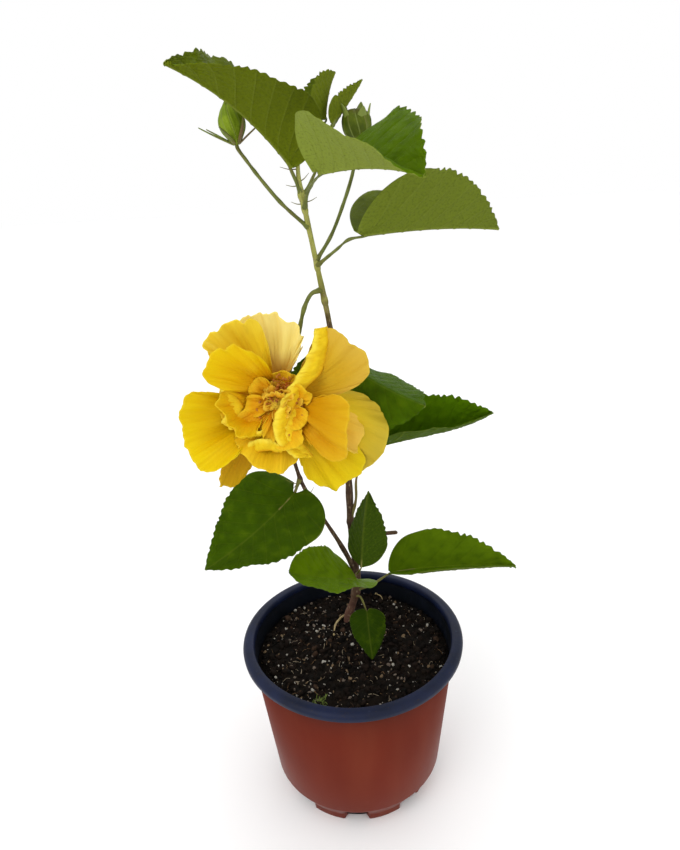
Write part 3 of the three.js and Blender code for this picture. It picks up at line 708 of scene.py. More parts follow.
# Each leaf's tones (right half, left half) and its under tone are its own green with painted light in them:
# higher leaves are painted lighter and lower ones darker, as the light falls on them, and the two halves of
# a folded leaf differ by painted shade.
leaves = {
    "top_left": {
        "stem": mainStem, "height": 353,
        "base": [-15.9, 0.3, 365.3], "heading": 221, "rise": 50.5, "bend": -31, "sweep": 3, "roll": -12,
        "twist": -21, "length": 73, "width": 29, "foldLeft": 51, "foldRight": 32, "curlRight": -5,
        "lobe": 0.02, "shoulder": 0.53,
        "tones": ["#637206", "#627602"], "under": "#717e0c", "teeth": 21,
    },
    "top_young": {
        "stem": mainStem, "height": 378, "via": [[-3.5, 6, 379.8]], "drop": 0.6,
        "base": [-0.3, 7.3, 384], "heading": 65, "rise": 74, "bend": -38, "sweep": -2, "roll": -30,
        "length": 24, "width": 13, "foldLeft": 64, "foldRight": 68, "lobe": 0, "shoulder": 0.46,
        "tones": ["#657618", "#657618"], "under": "#7e8c1c", "teeth": 11, "pleat": 0.5,
    },
    "top_narrow": {
        "stem": mainStem, "height": 351, "via": [[-7.3, 3, 359], [-4.2, 0.2, 365], [-1.5, 0.5, 373]],
        "base": [2.7, 4.5, 382], "heading": 50, "rise": 31, "bend": 17, "sweep": -10, "roll": -62,
        "twist": 14, "length": 28, "width": 8, "foldLeft": 20, "foldRight": 30, "curlLeft": -3,
        "curlRight": 8, "lobe": 0.01, "shoulder": 0.47,
        "tones": ["#62721a", "#62721a"], "under": "#7c8a1c", "teeth": 12,
    },
    "top_cupped": {
        "stem": mainStem, "height": 346, "via": [[-9.4, -4, 354]],
        "base": [-3.2, -26, 364], "heading": -44, "rise": 10, "bend": -20, "sweep": -13, "roll": -5,
        "twist": 34, "length": 60, "width": 32, "foldLeft": 39, "foldRight": 52, "curlLeft": -15,
        "curlRight": -4, "lobe": 0.03, "shoulder": 0.53,
        "tones": ["#5c7c00", "#5c7c00"], "under": "#9cac44", "teeth": 20,
    },
    "upper_right": {
        "stem": mainStem, "height": 319, "via": [[2, -3, 327.6], [8.1, -9, 333]],
        "base": [14.6, -14, 336], "heading": 23, "rise": 1, "bend": -12, "sweep": 12, "roll": -9,
        "twist": -4, "length": 80, "width": 30, "foldLeft": 44, "foldRight": 54, "curlLeft": -2,
        "curlRight": 2, "shoulder": 0.51,
        "tones": ["#505e16", "#687626"], "under": "#7d8c2a", "teeth": 22,
    },
    "middle_right": {
        "stem": mainStem, "height": 266, "drop": 0.7,
        "base": [3.4, 5.6, 269.7], "heading": -30, "rise": -31, "bend": 24, "sweep": -9, "roll": 23,
        "twist": 20, "length": 49, "width": 29, "foldLeft": -47, "foldRight": -47, "curlRight": -3,
        "lobe": 0.1, "shoulder": 0.55,
        "tones": ["#4c6e04", "#4c6e04"], "teeth": 15,
    },
    "middle_long": {
        "stem": mainStem, "height": 168, "via": [[6.1, 15, 184], [7.1, 13.5, 199], [12, 12, 210]],
        "base": [22.8, 12, 220], "heading": 5, "rise": 5, "bend": 9, "sweep": 8, "roll": 19,
        "twist": 18, "length": 63, "width": 25, "foldLeft": 62, "foldRight": 48, "curlLeft": 9,
        "curlRight": 22, "lobe": 0.07, "shoulder": 0.65, "drop": 0.2,
        "tones": ["#588000", "#588000"], "under": "#506c12", "teeth": 17,
    },
    "behind_bloom": {
        "stem": sideBranch, "height": 234, "via": [[-23.4, 5.8, 235.5]],
        "base": [-21, 7, 249], "heading": 40, "rise": 78, "bend": -8, "roll": 10,
        "length": 24, "width": 9, "foldLeft": 20, "foldRight": 20,
        "tones": ["#3e5608", "#3e5608"], "teeth": 9,
    },
    "lower_left": {
        "stem": sideBranch, "height": 204, "drop": 0.9,
        "base": [-27.8, 3, 197], "heading": 228, "rise": -23, "bend": 18, "sweep": -4, "roll": -27,
        "twist": 3, "length": 65, "width": 27, "foldLeft": 7, "foldRight": 3, "lobe": 0.09,
        "shoulder": 0.35,
        "tones": ["#426000", "#3e5a00"], "teeth": 20, "tooth": 1.1,
    },
    "low_front": {
        "stem": mainStem, "height": 126,
        "base": [4.3, 10.5, 133.3], "heading": 215, "rise": 25, "bend": -3, "sweep": -26, "roll": -11,
        "twist": -14, "length": 45, "width": 21, "foldLeft": 28, "foldRight": 14, "curlLeft": 6,
        "curlRight": -4, "lobe": 0, "lobeLeft": 0.17, "shoulder": 0.34, "taper": 0.46,
        "tones": ["#6f9000", "#6a8c00"], "teeth": 15, "tooth": 0.9,
    },
    "lower_right": {
        "stem": mainStem, "height": 116, "via": [[13.3, 16, 124.5]],
        "base": [24.2, 13, 135], "heading": -3, "rise": 9, "bend": -18, "sweep": 5, "roll": 21,
        "length": 75, "width": 23, "foldLeft": 42, "foldRight": 43, "curlLeft": -7, "curlRight": 17,
        "lobe": 0.01, "shoulder": 0.53,
        "tones": ["#557400", "#5e7c06"], "under": "#667a2a", "teeth": 19,
    },
    "upright": {
        "stem": mainStem, "height": 129,
        "base": [7.4, -1.3, 150.2], "heading": -136, "rise": 95, "bend": 8, "sweep": -12, "roll": 28,
        "twist": -11, "length": 46, "width": 14, "foldLeft": 29, "foldRight": 33, "lobe": 0.01,
        "shoulder": 0.47,
        "tones": ["#364b08", "#304406"], "under": "#3c5409", "teeth": 13, "tooth": 1.2, "shown": 0.35,
    },
    "small_hanging": {
        "stem": mainStem, "height": 113, "via": [[6.3, 15.5, 116]],
        "base": [9.4, 6.5, 112.6], "heading": -89, "rise": -34, "bend": -7, "sweep": 6, "roll": -7,
        "twist": -5, "length": 28, "width": 11, "foldLeft": -3, "foldRight": 4, "shoulder": 0.39,
        "tones": ["#2d4602", "#2a4202"], "teeth": 13, "tooth": 0.8, "toothFrom": 0.1,
    },
}


leafFaces = {  # the veins stand out on the under face and are sunk in the upper one
    "Upper": {
        "shine": 0.035, "rough": 0.36, "patchScale": 1.3, "speckle": 0.06, "vein": "#84962c",
        "net": 0.025, "sideVein": 0.08, "midrib": 0.14, "netRelief": -0.4, "veinRelief": -0.5,
    },
    "Under": {
        "shine": 0.06, "rough": 0.55, "patchScale": 9, "speckle": 0.14, "vein": "#8e9c3a",
        "net": 0.11, "sideVein": 0.26, "midrib": 0.5, "netRelief": 0.5, "veinRelief": 0.8,
    },
}


def leafPaint(place, face, right, left, shown=1):  # shown: how plainly the veins stand out
    look = leafFaces[face]
    paint = Paint(f"leaf{place}{face}", Specular_IOR_Level=look["shine"])
    flat = paint.map("flatPlace")
    share, side = paint.map("bladePlace", "X"), paint.map("bladePlace", "Y")
    phase, reach = paint.map("veinPlace", "X"), paint.map("veinPlace", "Y")
    midrib = 1 - reach.step(0.0, 0.009)
    vein = abs((phase + 0.5).fraction() - 0.5)
    width = 0.05 + 0.03 * (1 - share)
    sideVein = 1 - (vein / width).step(0.35, 1.0)
    net = 1 - paint.cells(flat, 42).step(0.0, 0.12)  # the mesh of fine veins
    patches = paint.cloud(flat, look["patchScale"], 3)
    speckle = paint.cloud(flat, 70, 4)
    # edge: a painted highlight, a paler rim along the leaf's margin
    edge = abs(side - 0.5).step(0.488, 0.5)
    # The right and left halves each get their own tone. The difference between them is painted shade across
    # the fold.
    paint.set("Base Color", paint.coats(
        right, (side.step(0.46, 0.54), left),
        (patches.step(0.45, 0.75) * 0.35, "#1f3602"), ((1 - patches.step(0.3, 0.5)) * 0.16, "#7c9a10"),
        (speckle.step(0.45, 0.8) * look["speckle"], "#7e9420"),
        (net * (look["net"] * shown), look["vein"]), (sideVein * (look["sideVein"] * shown), look["vein"]),
        (midrib * (look["midrib"] * shown), "#97a23e"), (edge * 0.3, "#8c9c3c"),
    ))
    paint.set("Roughness", look["rough"] + speckle * 0.14)
    paint.bump(speckle * 0.5 + net * look["netRelief"] + sideVein * look["veinRelief"], 0.00035)
    return paint


def toothedSide(blade, share, side, half, seed):  # teeth that point to the tip
    beat = blade.teeth * share + 0.35 * np.sign(side) + 0.25 * waves(share * 9, 0 * share, 2, seed)
    beat = beat % 1
    peak = blade.toothPeak
    tooth = np.where(beat < peak, (beat / peak) ** 0.85, (1 - beat) / (1 - peak))
    deep = ramp(share, blade.toothFrom, blade.toothFrom + 0.12) * (1 - 0.5 * ramp(share, 0.85, 1))
    deep = deep * (1 + 0.45 * waves(share * 16, 3 * np.sign(side), 2.4, seed + 6))
    notch = blade.tooth * (1 - tooth) * deep / np.maximum(half, 2.5)
    uneven = 0.03 * waves(share * 6, side, 2.2, seed + 1)
    return side * (1 - np.minimum(notch, 0.35) * abs(side) ** 5) * (1 + uneven * abs(side) ** 3)


def makeLeaf(place, plan):
    blade = Blade({**leafCut, **plan, "crease": leafCut["crease"] / plan["width"]})
    long, wide = blade.length, blade.width
    rows = int(long / blade.cell * 1.4) + 1  # closer, for the teeth
    columns = 2 * int(wide / blade.cell) + 1
    t = np.linspace(0, 1, rows)
    eased = 0.75 * t + 0.25 * (1 - np.cos(np.pi * t)) / 2
    side, share = np.meshgrid(np.linspace(-1, 1, columns), eased)
    seed = seedOf(place)
    half = blade.halfWidth(share)
    side = toothedSide(blade, share, side, half, seed)
    out = abs(side)
    lean = blade.veinLean * out**0.85 * (1 - 0.55 * share)
    root = share - lean  # where on the midrib a side vein starts
    phase = np.where(root > 0, root * blade.veins, (share / np.maximum(lean, 1e-4) - 1) * 2.0)
    reach = out * half
    gap = abs((phase + 0.5) % 1 - 0.5)  # 0 on a side vein, 0.5 midway between two
    slight = min(1, wide / 18)  # small leaves are flatter
    points = blade.place(share, side)
    normals = sheetNormals(points)
    young = ramp(reach, 0.8, 5) * (1 - ramp(out, 0.8, 1) * 0.5) * ramp(share, 0, 0.1)
    pleat = blade.pleat * (np.sin(np.pi * gap) ** 0.8 - 0.55) * young * slight
    flutter = blade.wave * out**2.5 * waves(share * long, side * 4, 17, seed + 2) * min(1, wide / 20)
    dimple = blade.dimple * waves(share * long, side * wide, 3.2, seed + 3, 14) * young
    groove = blade.groove * np.exp(-((reach / 0.8) ** 2))
    points = points + normals * (pleat + flutter + dimple - groove)[..., None]
    normals = sheetNormals(points)
    ridge = blade.rib * np.exp(-((reach / 0.75) ** 2)) * (1 - 0.8 * share) * slight
    ridge = ridge + blade.veinRidge * np.exp(-((gap / 0.07) ** 2)) * (1 - out * 0.7)
    thick = np.minimum(blade.thick, 0.25 * half + 0.08) * (1 - 0.45 * ramp(out, 0.85, 1))
    upper = points + normals * (thick / 2)[..., None]
    lower = points - normals * (thick / 2 + ridge * (1 - ramp(out, 0.9, 1)))[..., None]
    maps = {
        "bladePlace": sheetMap(share, side / 2 + 0.5),
        "flatPlace": sheetMap(share * long / 10, side * half / 10),
        "veinPlace": sheetMap(phase, reach / 100),
    }
    faces = sheetFaces(rows, columns)
    paints = [
        leafPaint(place, "Upper", *plan["tones"]),
        leafPaint(place, "Under", blade.under, blade.under, blade.shown),
    ]
    paintOf = np.repeat([0, 1, 1], [len(f) for f in faces])
    both = np.stack([upper, lower])
    makePiece(f"leaf_{place}_blade", both, faces, paints, [f"leaf_{place}"], maps, paintOf)
    makeLeafStalk(place, plan, blade)


def makeLeafStalk(place, plan, blade):  # runs on under the blade as the start of its rib
    ends = np.array([0, 0.05, 0.12, 0.2])
    below = np.array([0.8 + blade.drop, 0.75, 0.55, 0.45])[:, None]
    points = [*plan.get("via", []), *(blade.spine(ends) + below * -blade.frame(ends)[2])]
    foot, tip = blade.smallStalk if blade.length < blade.largeFrom else blade.largeStalk
    paint = greenStalk if blade.base[2] > blade.greenAbove else warmStalk
    makeStalk(f"stalk_{place}", plan["stem"], plan["height"], points, foot, tip, paint)


for place, plan in leaves.items():
    makeLeaf(place, plan)
print("leaves made")


def barkPaint():
    paint = Paint("youngBark", Specular_IOR_Level=0.15)
    place, height = paint.place(), paint.place("Z")
    fibre = paint.cloud(paint.stretch(place, (1500, 1500, 170)), 1.0, 4)
    patches = paint.cloud(place, 130, 4)
    low = paint.coats("#5e4036", (patches.step(0.35, 0.65), "#7a5648"))
    brown = paint.coats("#3c2a20", (patches.step(0.3, 0.7), "#54402e"))
    green = paint.coats("#8e9044", (patches.step(0.35, 0.7), "#a8a95c"))
    uneven = height + (patches - 0.5) * 0.03
    colour = paint.mix(uneven.step(0.098, 0.125), low, brown)
    colour = paint.mix(uneven.step(0.285, 0.318), colour, green)
    cracks = fibre.step(0.52, 0.72) * 0.5
    spots = 1 - paint.cells(paint.stretch(place, (1, 1, 0.6)), 420, "F1").step(0.12, 0.3)
    paint.set("Base Color", paint.coats(colour, (cracks, "#8c7a62"), (spots * 0.45, "#a08c70")))
    paint.set("Roughness", 0.55 + fibre * 0.25)
    paint.bump(fibre + spots * 0.6 + patches * 0.4, 0.0005)
    return paint


def makeStem(place, stem, tilt):
    sides = stems["sides"]
    far = stem.share * stems["ringStep"] * len(stem.path)
    turn = np.arange(sides) * 2 * np.pi / sides
    around, along = np.meshgrid(turn, far)
    ridges = waves(np.cos(around) * 6 + along * 0.12, np.sin(around) * 6, 5, tilt, 12)
    knots = waves(along, 2 * np.cos(around + 1), 16, tilt + 1)
    radius = stem.radius[:, None] * (1 + 0.05 * np.cos(2 * around + along * 0.05))
    radius = radius + stems["ridge"] * ridges + stems["knot"] * knots
    for height in sorted(set(stem.nodes)):  # a swelling and a scar ring where each stalk leaves
        gap = stem.path[:, 2, None] - height
        radius = radius + stems["swelling"] * np.exp(-((gap / 2.2) ** 2))
        radius = radius - stems["scar"] * np.exp(-(((gap + 2.4) / 0.7) ** 2))
    radius = np.maximum(radius * (1 - 0.6 * ramp(stem.share, 0.985, 1))[:, None], 0.35)
    points, quads, caps = tube(stem.path, radius, sides)
    makePiece(place + "_bark", points, [quads, caps], [youngBark], [place])


youngBark = barkPaint()
mainStem.nodes += stems["moreNodes"]
for place, stem in {"main_stem": mainStem, "side_branch": sideBranch, "pruned_stub": stub}.items():
    makeStem(place, stem, len(place))
print("stems made")


# Bloom: a double flower in its own frame, +Z out of the throat, +X to the right and +Y up

bloom = {
    "throat": (-28.7, -15, 259.9), "heading": -92, "rise": 12,
    "coreRadius": 5, "coreNarrows": 0.55, "coreGap": 0.45, "petaloidsStand": 3,
    "cell": 0.8, "thick": 0.5,
    "corner": 3,  # radius of the outline's smoothing
    "frill": 0.8,  # height of the margin's ruffles
    "ruffle": 12,  # from one ruffle to the next
    "lobe": 0.014,  # unevenness of the outline
    "swell": 1.5,  # soft folds over the whole petal
    "crinkle": 0.3,
    "crease": 0.25,
    "valleys": [],
}
throatLine = {"base": (0, 0, 0), "length": 1, "heading": bloom["heading"], "rise": bloom["rise"]}
facing = Blade(throatLine).frame(0.0)[0]
bloomRight = unit(np.cross([0, 0, 1], facing))
bloomAxes = np.stack([bloomRight, np.cross(facing, bloomRight), facing])

# level: how far along the bloom's axis a petal starts; a valley: its place and breadth in degrees, its depth
petals = {
    "top": {
        "level": -1.8, "heading": 96, "rise": 16, "bend": 16, "sweep": 4, "roll": -10, "twist": -4,
        "length": 39, "width": 18, "foldLeft": 5, "foldRight": 16, "curlLeft": 2, "curlRight": -8,
        "shoulder": 1, "taper": 0.4, "tones": ["#d0a034", "#f0da74", "#f6e488"], "frill": 1.8,
        "ruffle": 9,
    },
    "top_left": {
        "level": -0.2, "heading": 124, "rise": 25, "bend": 14, "sweep": -6, "roll": -4, "twist": -2,
        "length": 44, "width": 15, "foldLeft": -10, "foldRight": 4, "curlLeft": 0, "curlRight": -1,
        "shoulder": 1.1, "taper": 0.3, "tones": ["#d09c08", "#eac820", "#eed238"], "frill": 1.6,
    },
    "right_top": {
        "level": 0.6, "heading": 25, "rise": 19, "bend": -5, "sweep": 23, "roll": -1, "twist": 4,
        "length": 42, "width": 15.5, "foldLeft": -23, "foldRight": 12, "curlLeft": 10, "curlRight": 0,
        "shoulder": 0.9, "taper": 0.23, "tones": ["#c0900a", "#caa220", "#cfaa3c"],
    },
    "right_back": {
        "level": -2.2, "heading": -30, "rise": -1, "bend": 9, "sweep": -14, "roll": -4, "twist": -4,
        "length": 50, "width": 23, "foldLeft": -19, "foldRight": -20, "curlLeft": 2, "curlRight": 2,
        "shoulder": 0.7, "taper": 0.44, "tones": ["#cca206", "#d6b820", "#c4ac34"],
    },
    "bottom": {
        "level": -1.2, "heading": -58, "rise": 6, "bend": -12, "sweep": 6, "roll": 8, "twist": -7,
        "length": 48, "width": 16, "foldLeft": 4, "foldRight": -23, "curlLeft": -6, "curlRight": -1,
        "shoulder": 0.8, "taper": 0.22, "tones": ["#c08c02", "#cfaa02", "#d8be0c"],
    },
    # this back petal's darker, browner tones are painted shade for the shadow it lies in behind the others
    "lower_back": {
        "level": -2.2, "heading": 230, "rise": 11, "bend": -10, "sweep": 15, "roll": -25, "twist": -8,
        "length": 46, "width": 12, "foldLeft": -25, "foldRight": 37, "curlLeft": -17, "curlRight": 1,
        "shoulder": 1.1, "taper": 0.34, "tones": ["#9a6a02", "#b48404", "#c49a0c"],
    },
    "lower_left": {
        "level": -0.8, "heading": 204, "rise": 29, "bend": -3, "sweep": -14, "roll": 4, "twist": -2,
        "length": 46, "width": 21, "foldLeft": 28, "foldRight": 16, "curlLeft": 0, "curlRight": 1,
        "shoulder": 1.1, "taper": 0.23, "tones": ["#c88a02", "#d8b002", "#e2c608"], "swell": 2.2,
        "valleys": [[6, 7, 2.6], [-20, 8, -2.2]],
    },
    "right_inner": {
        "level": 0.2, "heading": -29, "rise": 18, "bend": -31, "sweep": -9, "roll": -24, "twist": -2,
        "length": 40, "width": 13, "foldLeft": -5, "foldRight": 39, "curlLeft": -8, "curlRight": 25,
        "shoulder": 0.9, "taper": 0.27, "tones": ["#cc8e06", "#dba81e", "#e2ba48"],
    },
    "lower_ruffle": {
        "level": 0.8, "heading": 253, "rise": 22, "bend": 21, "sweep": 1, "roll": -4, "twist": -5,
        "length": 33, "width": 17, "foldLeft": -22, "foldRight": 22, "curlLeft": -6, "curlRight": -10,
        "shoulder": 0.7, "taper": 0.5, "tones": ["#c08406", "#d4a204", "#e2bc1c"], "frill": 1.8,
    },
    "left_ruffle": {
        "level": 1, "heading": 201, "rise": 33, "bend": 31, "sweep": -16, "roll": 3, "twist": 0,
        "length": 32, "width": 14, "foldLeft": 38, "foldRight": -8, "curlLeft": 18, "curlRight": 1,
        "shoulder": 1.1, "taper": 0.32, "tones": ["#cc8608", "#daa204", "#e0bc10"], "frill": 1.6,
    },
    "left_cup": {
        "level": 1.6, "heading": 130, "rise": 45, "bend": 1, "sweep": 17, "roll": -2, "twist": -1,
        "length": 46, "width": 13, "foldLeft": 0, "foldRight": 21, "curlLeft": -5, "curlRight": 6,
        "shoulder": 1, "taper": 0.49, "tones": ["#c88402", "#dcae00", "#e4c208"],
    },
    "right_cup": {
        "level": 1.6, "heading": -28, "rise": 56, "bend": -21, "sweep": 13, "roll": 0, "twist": 12,
        "length": 44, "width": 16, "foldLeft": -6, "foldRight": -7, "curlLeft": -10, "curlRight": -8,
        "shoulder": 1.1, "taper": 0.22, "tones": ["#c07c02", "#c48c03", "#cfa212"],
    },
}


def petalPaint(name, heart, body, margin):
    paint = Paint(name, Specular_IOR_Level=0.08)
    share, near = paint.map("bladePlace", "X"), paint.map("bladePlace", "Y")
    ray = paint.map("fanPlace")
    streak = paint.cloud(paint.stretch(ray, (34, 1.6, 1)), 1.0, 4)  # long veins from the base
    patches = paint.cloud(paint.stretch(ray, (5, 3, 1)), 1.0, 3)
    wander = share + (patches - 0.5) * 0.2
    # The last coat is a painted highlight along the very edge of the margin.
    paint.set("Base Color", paint.coats(
        "#b4600a", (wander.step(0.02, 0.2), heart), (wander.step(0.12, 0.5), body),
        (near.step(0.3, 1.0), margin), (streak.step(0.4, 0.75) * 0.16, heart),
        (patches.step(0.45, 0.75) * 0.14, "#e6c93c"), (near.step(0.93, 1.0) * 0.2, "#e9d23c"),
    ))
    paint.set("Roughness", 0.5 + streak * 0.2)
    paint.bump(streak + patches * 0.3, 0.0005)
    return paint


def inBloom(points):
    return np.asarray(points) @ bloomAxes + np.array(bloom["throat"])


def petalOutline(blade, seed):  # an even walk round the margin, base to base, with soft corners
    share = (1 - np.cos(np.linspace(0, np.pi, 200))) / 2
    half = blade.halfWidth(share)
    line = np.stack([np.append(share, share[::-1]) * blade.length, np.append(-half, half[::-1])], 1)
    walk = np.append(0, np.cumsum(stepLengths(line)))
    even = np.linspace(0, walk[-1], int(walk[-1] / blade.cell))
    line = np.stack([np.interp(even, walk, line[:, i]) for i in range(2)], 1)
    for _ in range(int(2 * (blade.corner / blade.cell) ** 2)):
        line[1:-1] = (line[:-2] + 2 * line[1:-1] + line[2:]) / 4
    uneven = waves(even, 0 * even, 12, seed) + 0.3 * waves(even, 0 * even, 5, seed + 3)
    return line * (1 + blade.lobe * uneven * ramp(line[:, 0] / blade.length, 0.2, 0.6))[:, None], even


def petalLift(blade, seed, turn, far, out, walk):  # how far the surface stands off the plain blade
    spread = ramp(far, 0.15, 0.5)
    beat = walk * 2 * np.pi / blade.ruffle + 2.5 * waves(walk, 0 * walk, 25, seed + 5)
    frill = np.sin(beat + 1.5 * out) + 0.4 * np.sin(beat * 2.3 + 1.3 - 2 * out)
    frill = frill * (0.75 + 0.6 * waves(walk, 0 * walk, 30, seed + 6))
    folds = waves(turn * 26, far * 8, 11, seed + 1) * spread
    crease = 1 - 2 * abs(waves(turn * 30, far * 5, 4.5, seed + 2, 12))
    lift = blade.frill * frill * (out**5 * spread) + blade.swell * folds + blade.crinkle * crease * spread
    for at, broad, deep in blade.valleys:
        lift = lift - deep * np.exp(-(((np.degrees(turn) - at) / broad) ** 2)) * spread
    return lift


def makePetal(place, plan, paint, nodes=()):
    blade = Blade({**bloom, **plan})
    long, wide = blade.length, blade.width
    seed = seedOf(place)
    outline, walk = petalOutline(blade, seed)
    rows, columns = int(long / blade.cell) + 1, len(outline)
    out = np.linspace(0.02, 1, rows)[:, None]
    along, aside = out * outline[:, 0], out * outline[:, 1]
    share = along / long
    half = np.maximum(blade.halfWidth(np.minimum(share, 1)), 0.5 * wide * ramp(share, 0.4, 0.8))
    blade.lobe = 0  # it only shapes the outline
    points = blade.place(share, aside / half, half)
    turn, far = np.arctan2(aside, along + 3), np.hypot(along, aside) / long
    lift = petalLift(blade, seed, turn, far, out, walk)
    points = points + sheetNormals(points) * lift[..., None]
    thick = np.minimum(blade.thick, 0.25 * half + 0.1) * (1 - 0.5 * out**4)
    nearEdge = out**2 * ramp(far, 0.15, 0.5)
    maps = {"bladePlace": sheetMap(far * 0.85, nearEdge), "fanPlace": sheetMap(turn / 2 + 0.5, far)}
    both = inBloom(thickened(points, thick))
    makePiece(f"petal_{place}_blade", both, sheetFaces(rows, columns), [paint], nodes, maps)


for place, plan in petals.items():
    stand = bloom["coreRadius"] - bloom["coreNarrows"] * plan["level"] + bloom["coreGap"]
    placed = {**plan, "base": polar(stand, plan["heading"], plan["level"])}
    paint = petalPaint(f"petal{place}", *plan["tones"])
    makePetal(place, placed, paint, [f"petal_{place}"])
print("petals made")


# Inner petaloids and frills: short petals between the large ones, and ruffled edges in front

petaloids = {
    "left_middle": {
        "level": 2, "heading": 178, "rise": 30, "bend": -22, "roll": 6, "length": 27, "width": 12,
    },
    "left_low": {
        "level": 4, "heading": 226, "rise": 34, "bend": -22, "roll": -8, "length": 24, "width": 11,
    },
    "inner_a": {"level": 10, "heading": 212, "rise": 20, "bend": -30, "length": 17, "width": 6.5},
    "inner_b": {
        "level": 8, "heading": 240, "rise": 30, "bend": -25, "roll": 14, "length": 20, "width": 7.5,
    },
    "inner_c": {
        "level": 10, "heading": 262, "rise": 34, "bend": -35, "roll": -12, "length": 18, "width": 6.5,
    },
    "inner_d": {"level": 12, "heading": 186, "rise": 18, "bend": -40, "length": 13, "width": 5.5},
    "inner_e": {"level": 7, "heading": 284, "rise": 34, "bend": -20, "roll": 10, "length": 22, "width": 8},
    "inner_f": {"level": 9, "heading": 140, "rise": 24, "bend": -24, "roll": -10, "length": 13, "width": 6},
    "inner_g": {"level": 12, "heading": 320, "rise": 30, "bend": -30, "length": 14, "width": 6},
    "inner_i": {"level": 4, "heading": 76, "rise": 26, "length": 13, "width": 7},
    "inner_h": {"level": 10, "heading": 20, "rise": 34, "bend": -10, "roll": 20, "length": 15, "width": 6},
}
petaloidRest = {
    "shoulder": 0.8, "taper": 0.35, "foldLeft": 14, "foldRight": 10, "frill": 0.8, "ruffle": 8,
    "corner": 1.5, "swell": 0.8, "cell": 0.6, "tones": ["#c47806", "#d8980a", "#e2b81c"],
}
frills = {
    "right_band": {
        "walk": [
            (19, 33.6, 10), (16.4, 24.2, 11), (11.2, 14.6, 13.5), (5.2, 6.6, 16.5), (0.6, -1.6, 18.5),
            (-2.3, -8.8, 18.5), (-2.3, -15.7, 17), (1.1, -22.4, 14.5), (6.4, -27.8, 12),
        ],
        "across": (1, 0.12, -0.5), "wide": [6, 10.5, 12.5, 12.5, 10, 9, 7, 5, 8], "depth": 1.5,
        "bulge": 2,
    },
    "right_under": {
        "walk": [
            (6.1, 4.4, 12), (3.8, -1.7, 14.5), (1.7, -9.5, 15.5), (1.5, -15.6, 15), (3.8, -22.2, 12.5),
            (9.2, -27.7, 9.5),
        ],
        "across": (1, -0.1, -0.4), "wide": [7, 9, 10, 9, 9, 6], "depth": 1.8, "bulge": 1.5,
    },
    "left_strip": {
        "walk": [
            (-27.2, 8, 12), (-26.3, 3.5, 14.5), (-24.7, -1.8, 15.5), (-26.3, -7, 15), (-24.6, -11.9, 13),
        ],
        "across": (1, 0, -0.4), "wide": [4, 7, 8, 8, 5], "depth": 1.2, "bulge": 1.6,
    },
    "low_edge": {
        "walk": [
            (-17, -20.5, 14), (-13.5, -17.5, 16.5), (-8.5, -16, 17.5), (-3.5, -17.5, 16), (-0.5, -21, 13),
        ],
        "across": (0.15, -1, -0.45), "wide": [4, 7, 8, 7, 4], "depth": 1.5, "bulge": 1.4,
    },
    "low_left_edge": {
        "walk": [(-21, -15, 13), (-16, -12, 15.5), (-10.5, -11.5, 16.5), (-6, -13.5, 16)],
        "across": (-0.1, -1, -0.5), "wide": [4, 7, 7, 4], "depth": 1.4, "bulge": 1.2,
    },
}
frillCut = {"cell": 0.55, "thick": 0.45, "ruffle": 8, "tones": ["#cc900c", "#e2c01c", "#eeda46"]}


def makeFrill(place, plan):
    seed, ruffle = seedOf(place), frillCut["ruffle"]
    rough = np.array(plan["walk"], float)
    long = stepLengths(rough).sum()
    rows, columns = int(long / frillCut["cell"]), int(max(plan["wide"]) / frillCut["cell"])
    t, s = np.meshgrid(np.linspace(0, 1, columns), np.linspace(0, long, rows))  # t: 0 at the free edge
    wide = np.interp(s, np.linspace(0, long, len(plan["wide"])), plan["wide"])
    wide = wide * (1 + 0.07 * waves(s, 0 * s, 16, seed + 4))
    free = (1 - t) ** 1.8
    soft = waves(s, 2 * t, ruffle, seed)
    fine = waves(s, 3 * t, ruffle / 2.6, seed + 1)
    edge = t * wide - free * (0.7 * np.roll(soft, 3, axis=0) + 0.3 * fine)
    across = unit(np.array(plan["across"], float))
    points = curveThrough(rough, rows)[:, None] + across * edge[..., None]
    normals = sheetNormals(points)
    forward = np.sign((normals * [0, 0, 1]).sum(-1).mean())
    lift = plan["bulge"] * np.sin(np.pi * t**0.7) + free * plan["depth"] * (soft + 0.35 * fine)
    lift = lift + 0.5 * waves(s, t * wide, 9, seed + 3) * np.sin(np.pi * t)
    crease = 1 - 2 * abs(waves(s, t * 5, 4, seed + 2, 12))
    points = points + normals * forward * (lift + 0.2 * crease)[..., None]
    both = inBloom(thickened(points, frillCut["thick"] * (1 - 0.4 * free)).reshape(-1, 3))
    maps = {
        "bladePlace": sheetMap(0.25 + 0.75 * (1 - t), (1 - t) ** 2.5),
        "fanPlace": sheetMap(s / 45, 1 - t * 0.5),
    }
    makePiece(f"frill_{place}", both, sheetFaces(rows, columns), [frillPaint], (), maps)


petaloidPaint = petalPaint("petaloid", *petaloidRest["tones"])
frillPaint = petalPaint("frillEdge", *frillCut["tones"])
for place, plan in petaloids.items():
    base = polar(bloom["petaloidsStand"], plan["heading"], plan["level"])
    makePetal(place, {**petaloidRest, **plan, "base": base}, petaloidPaint)
for place, plan in frills.items():
    makeFrill(place, plan)
print("petaloids and frills made")


# Heart of the bloom: crumpled petaloids crowded round the column, with anthers among them

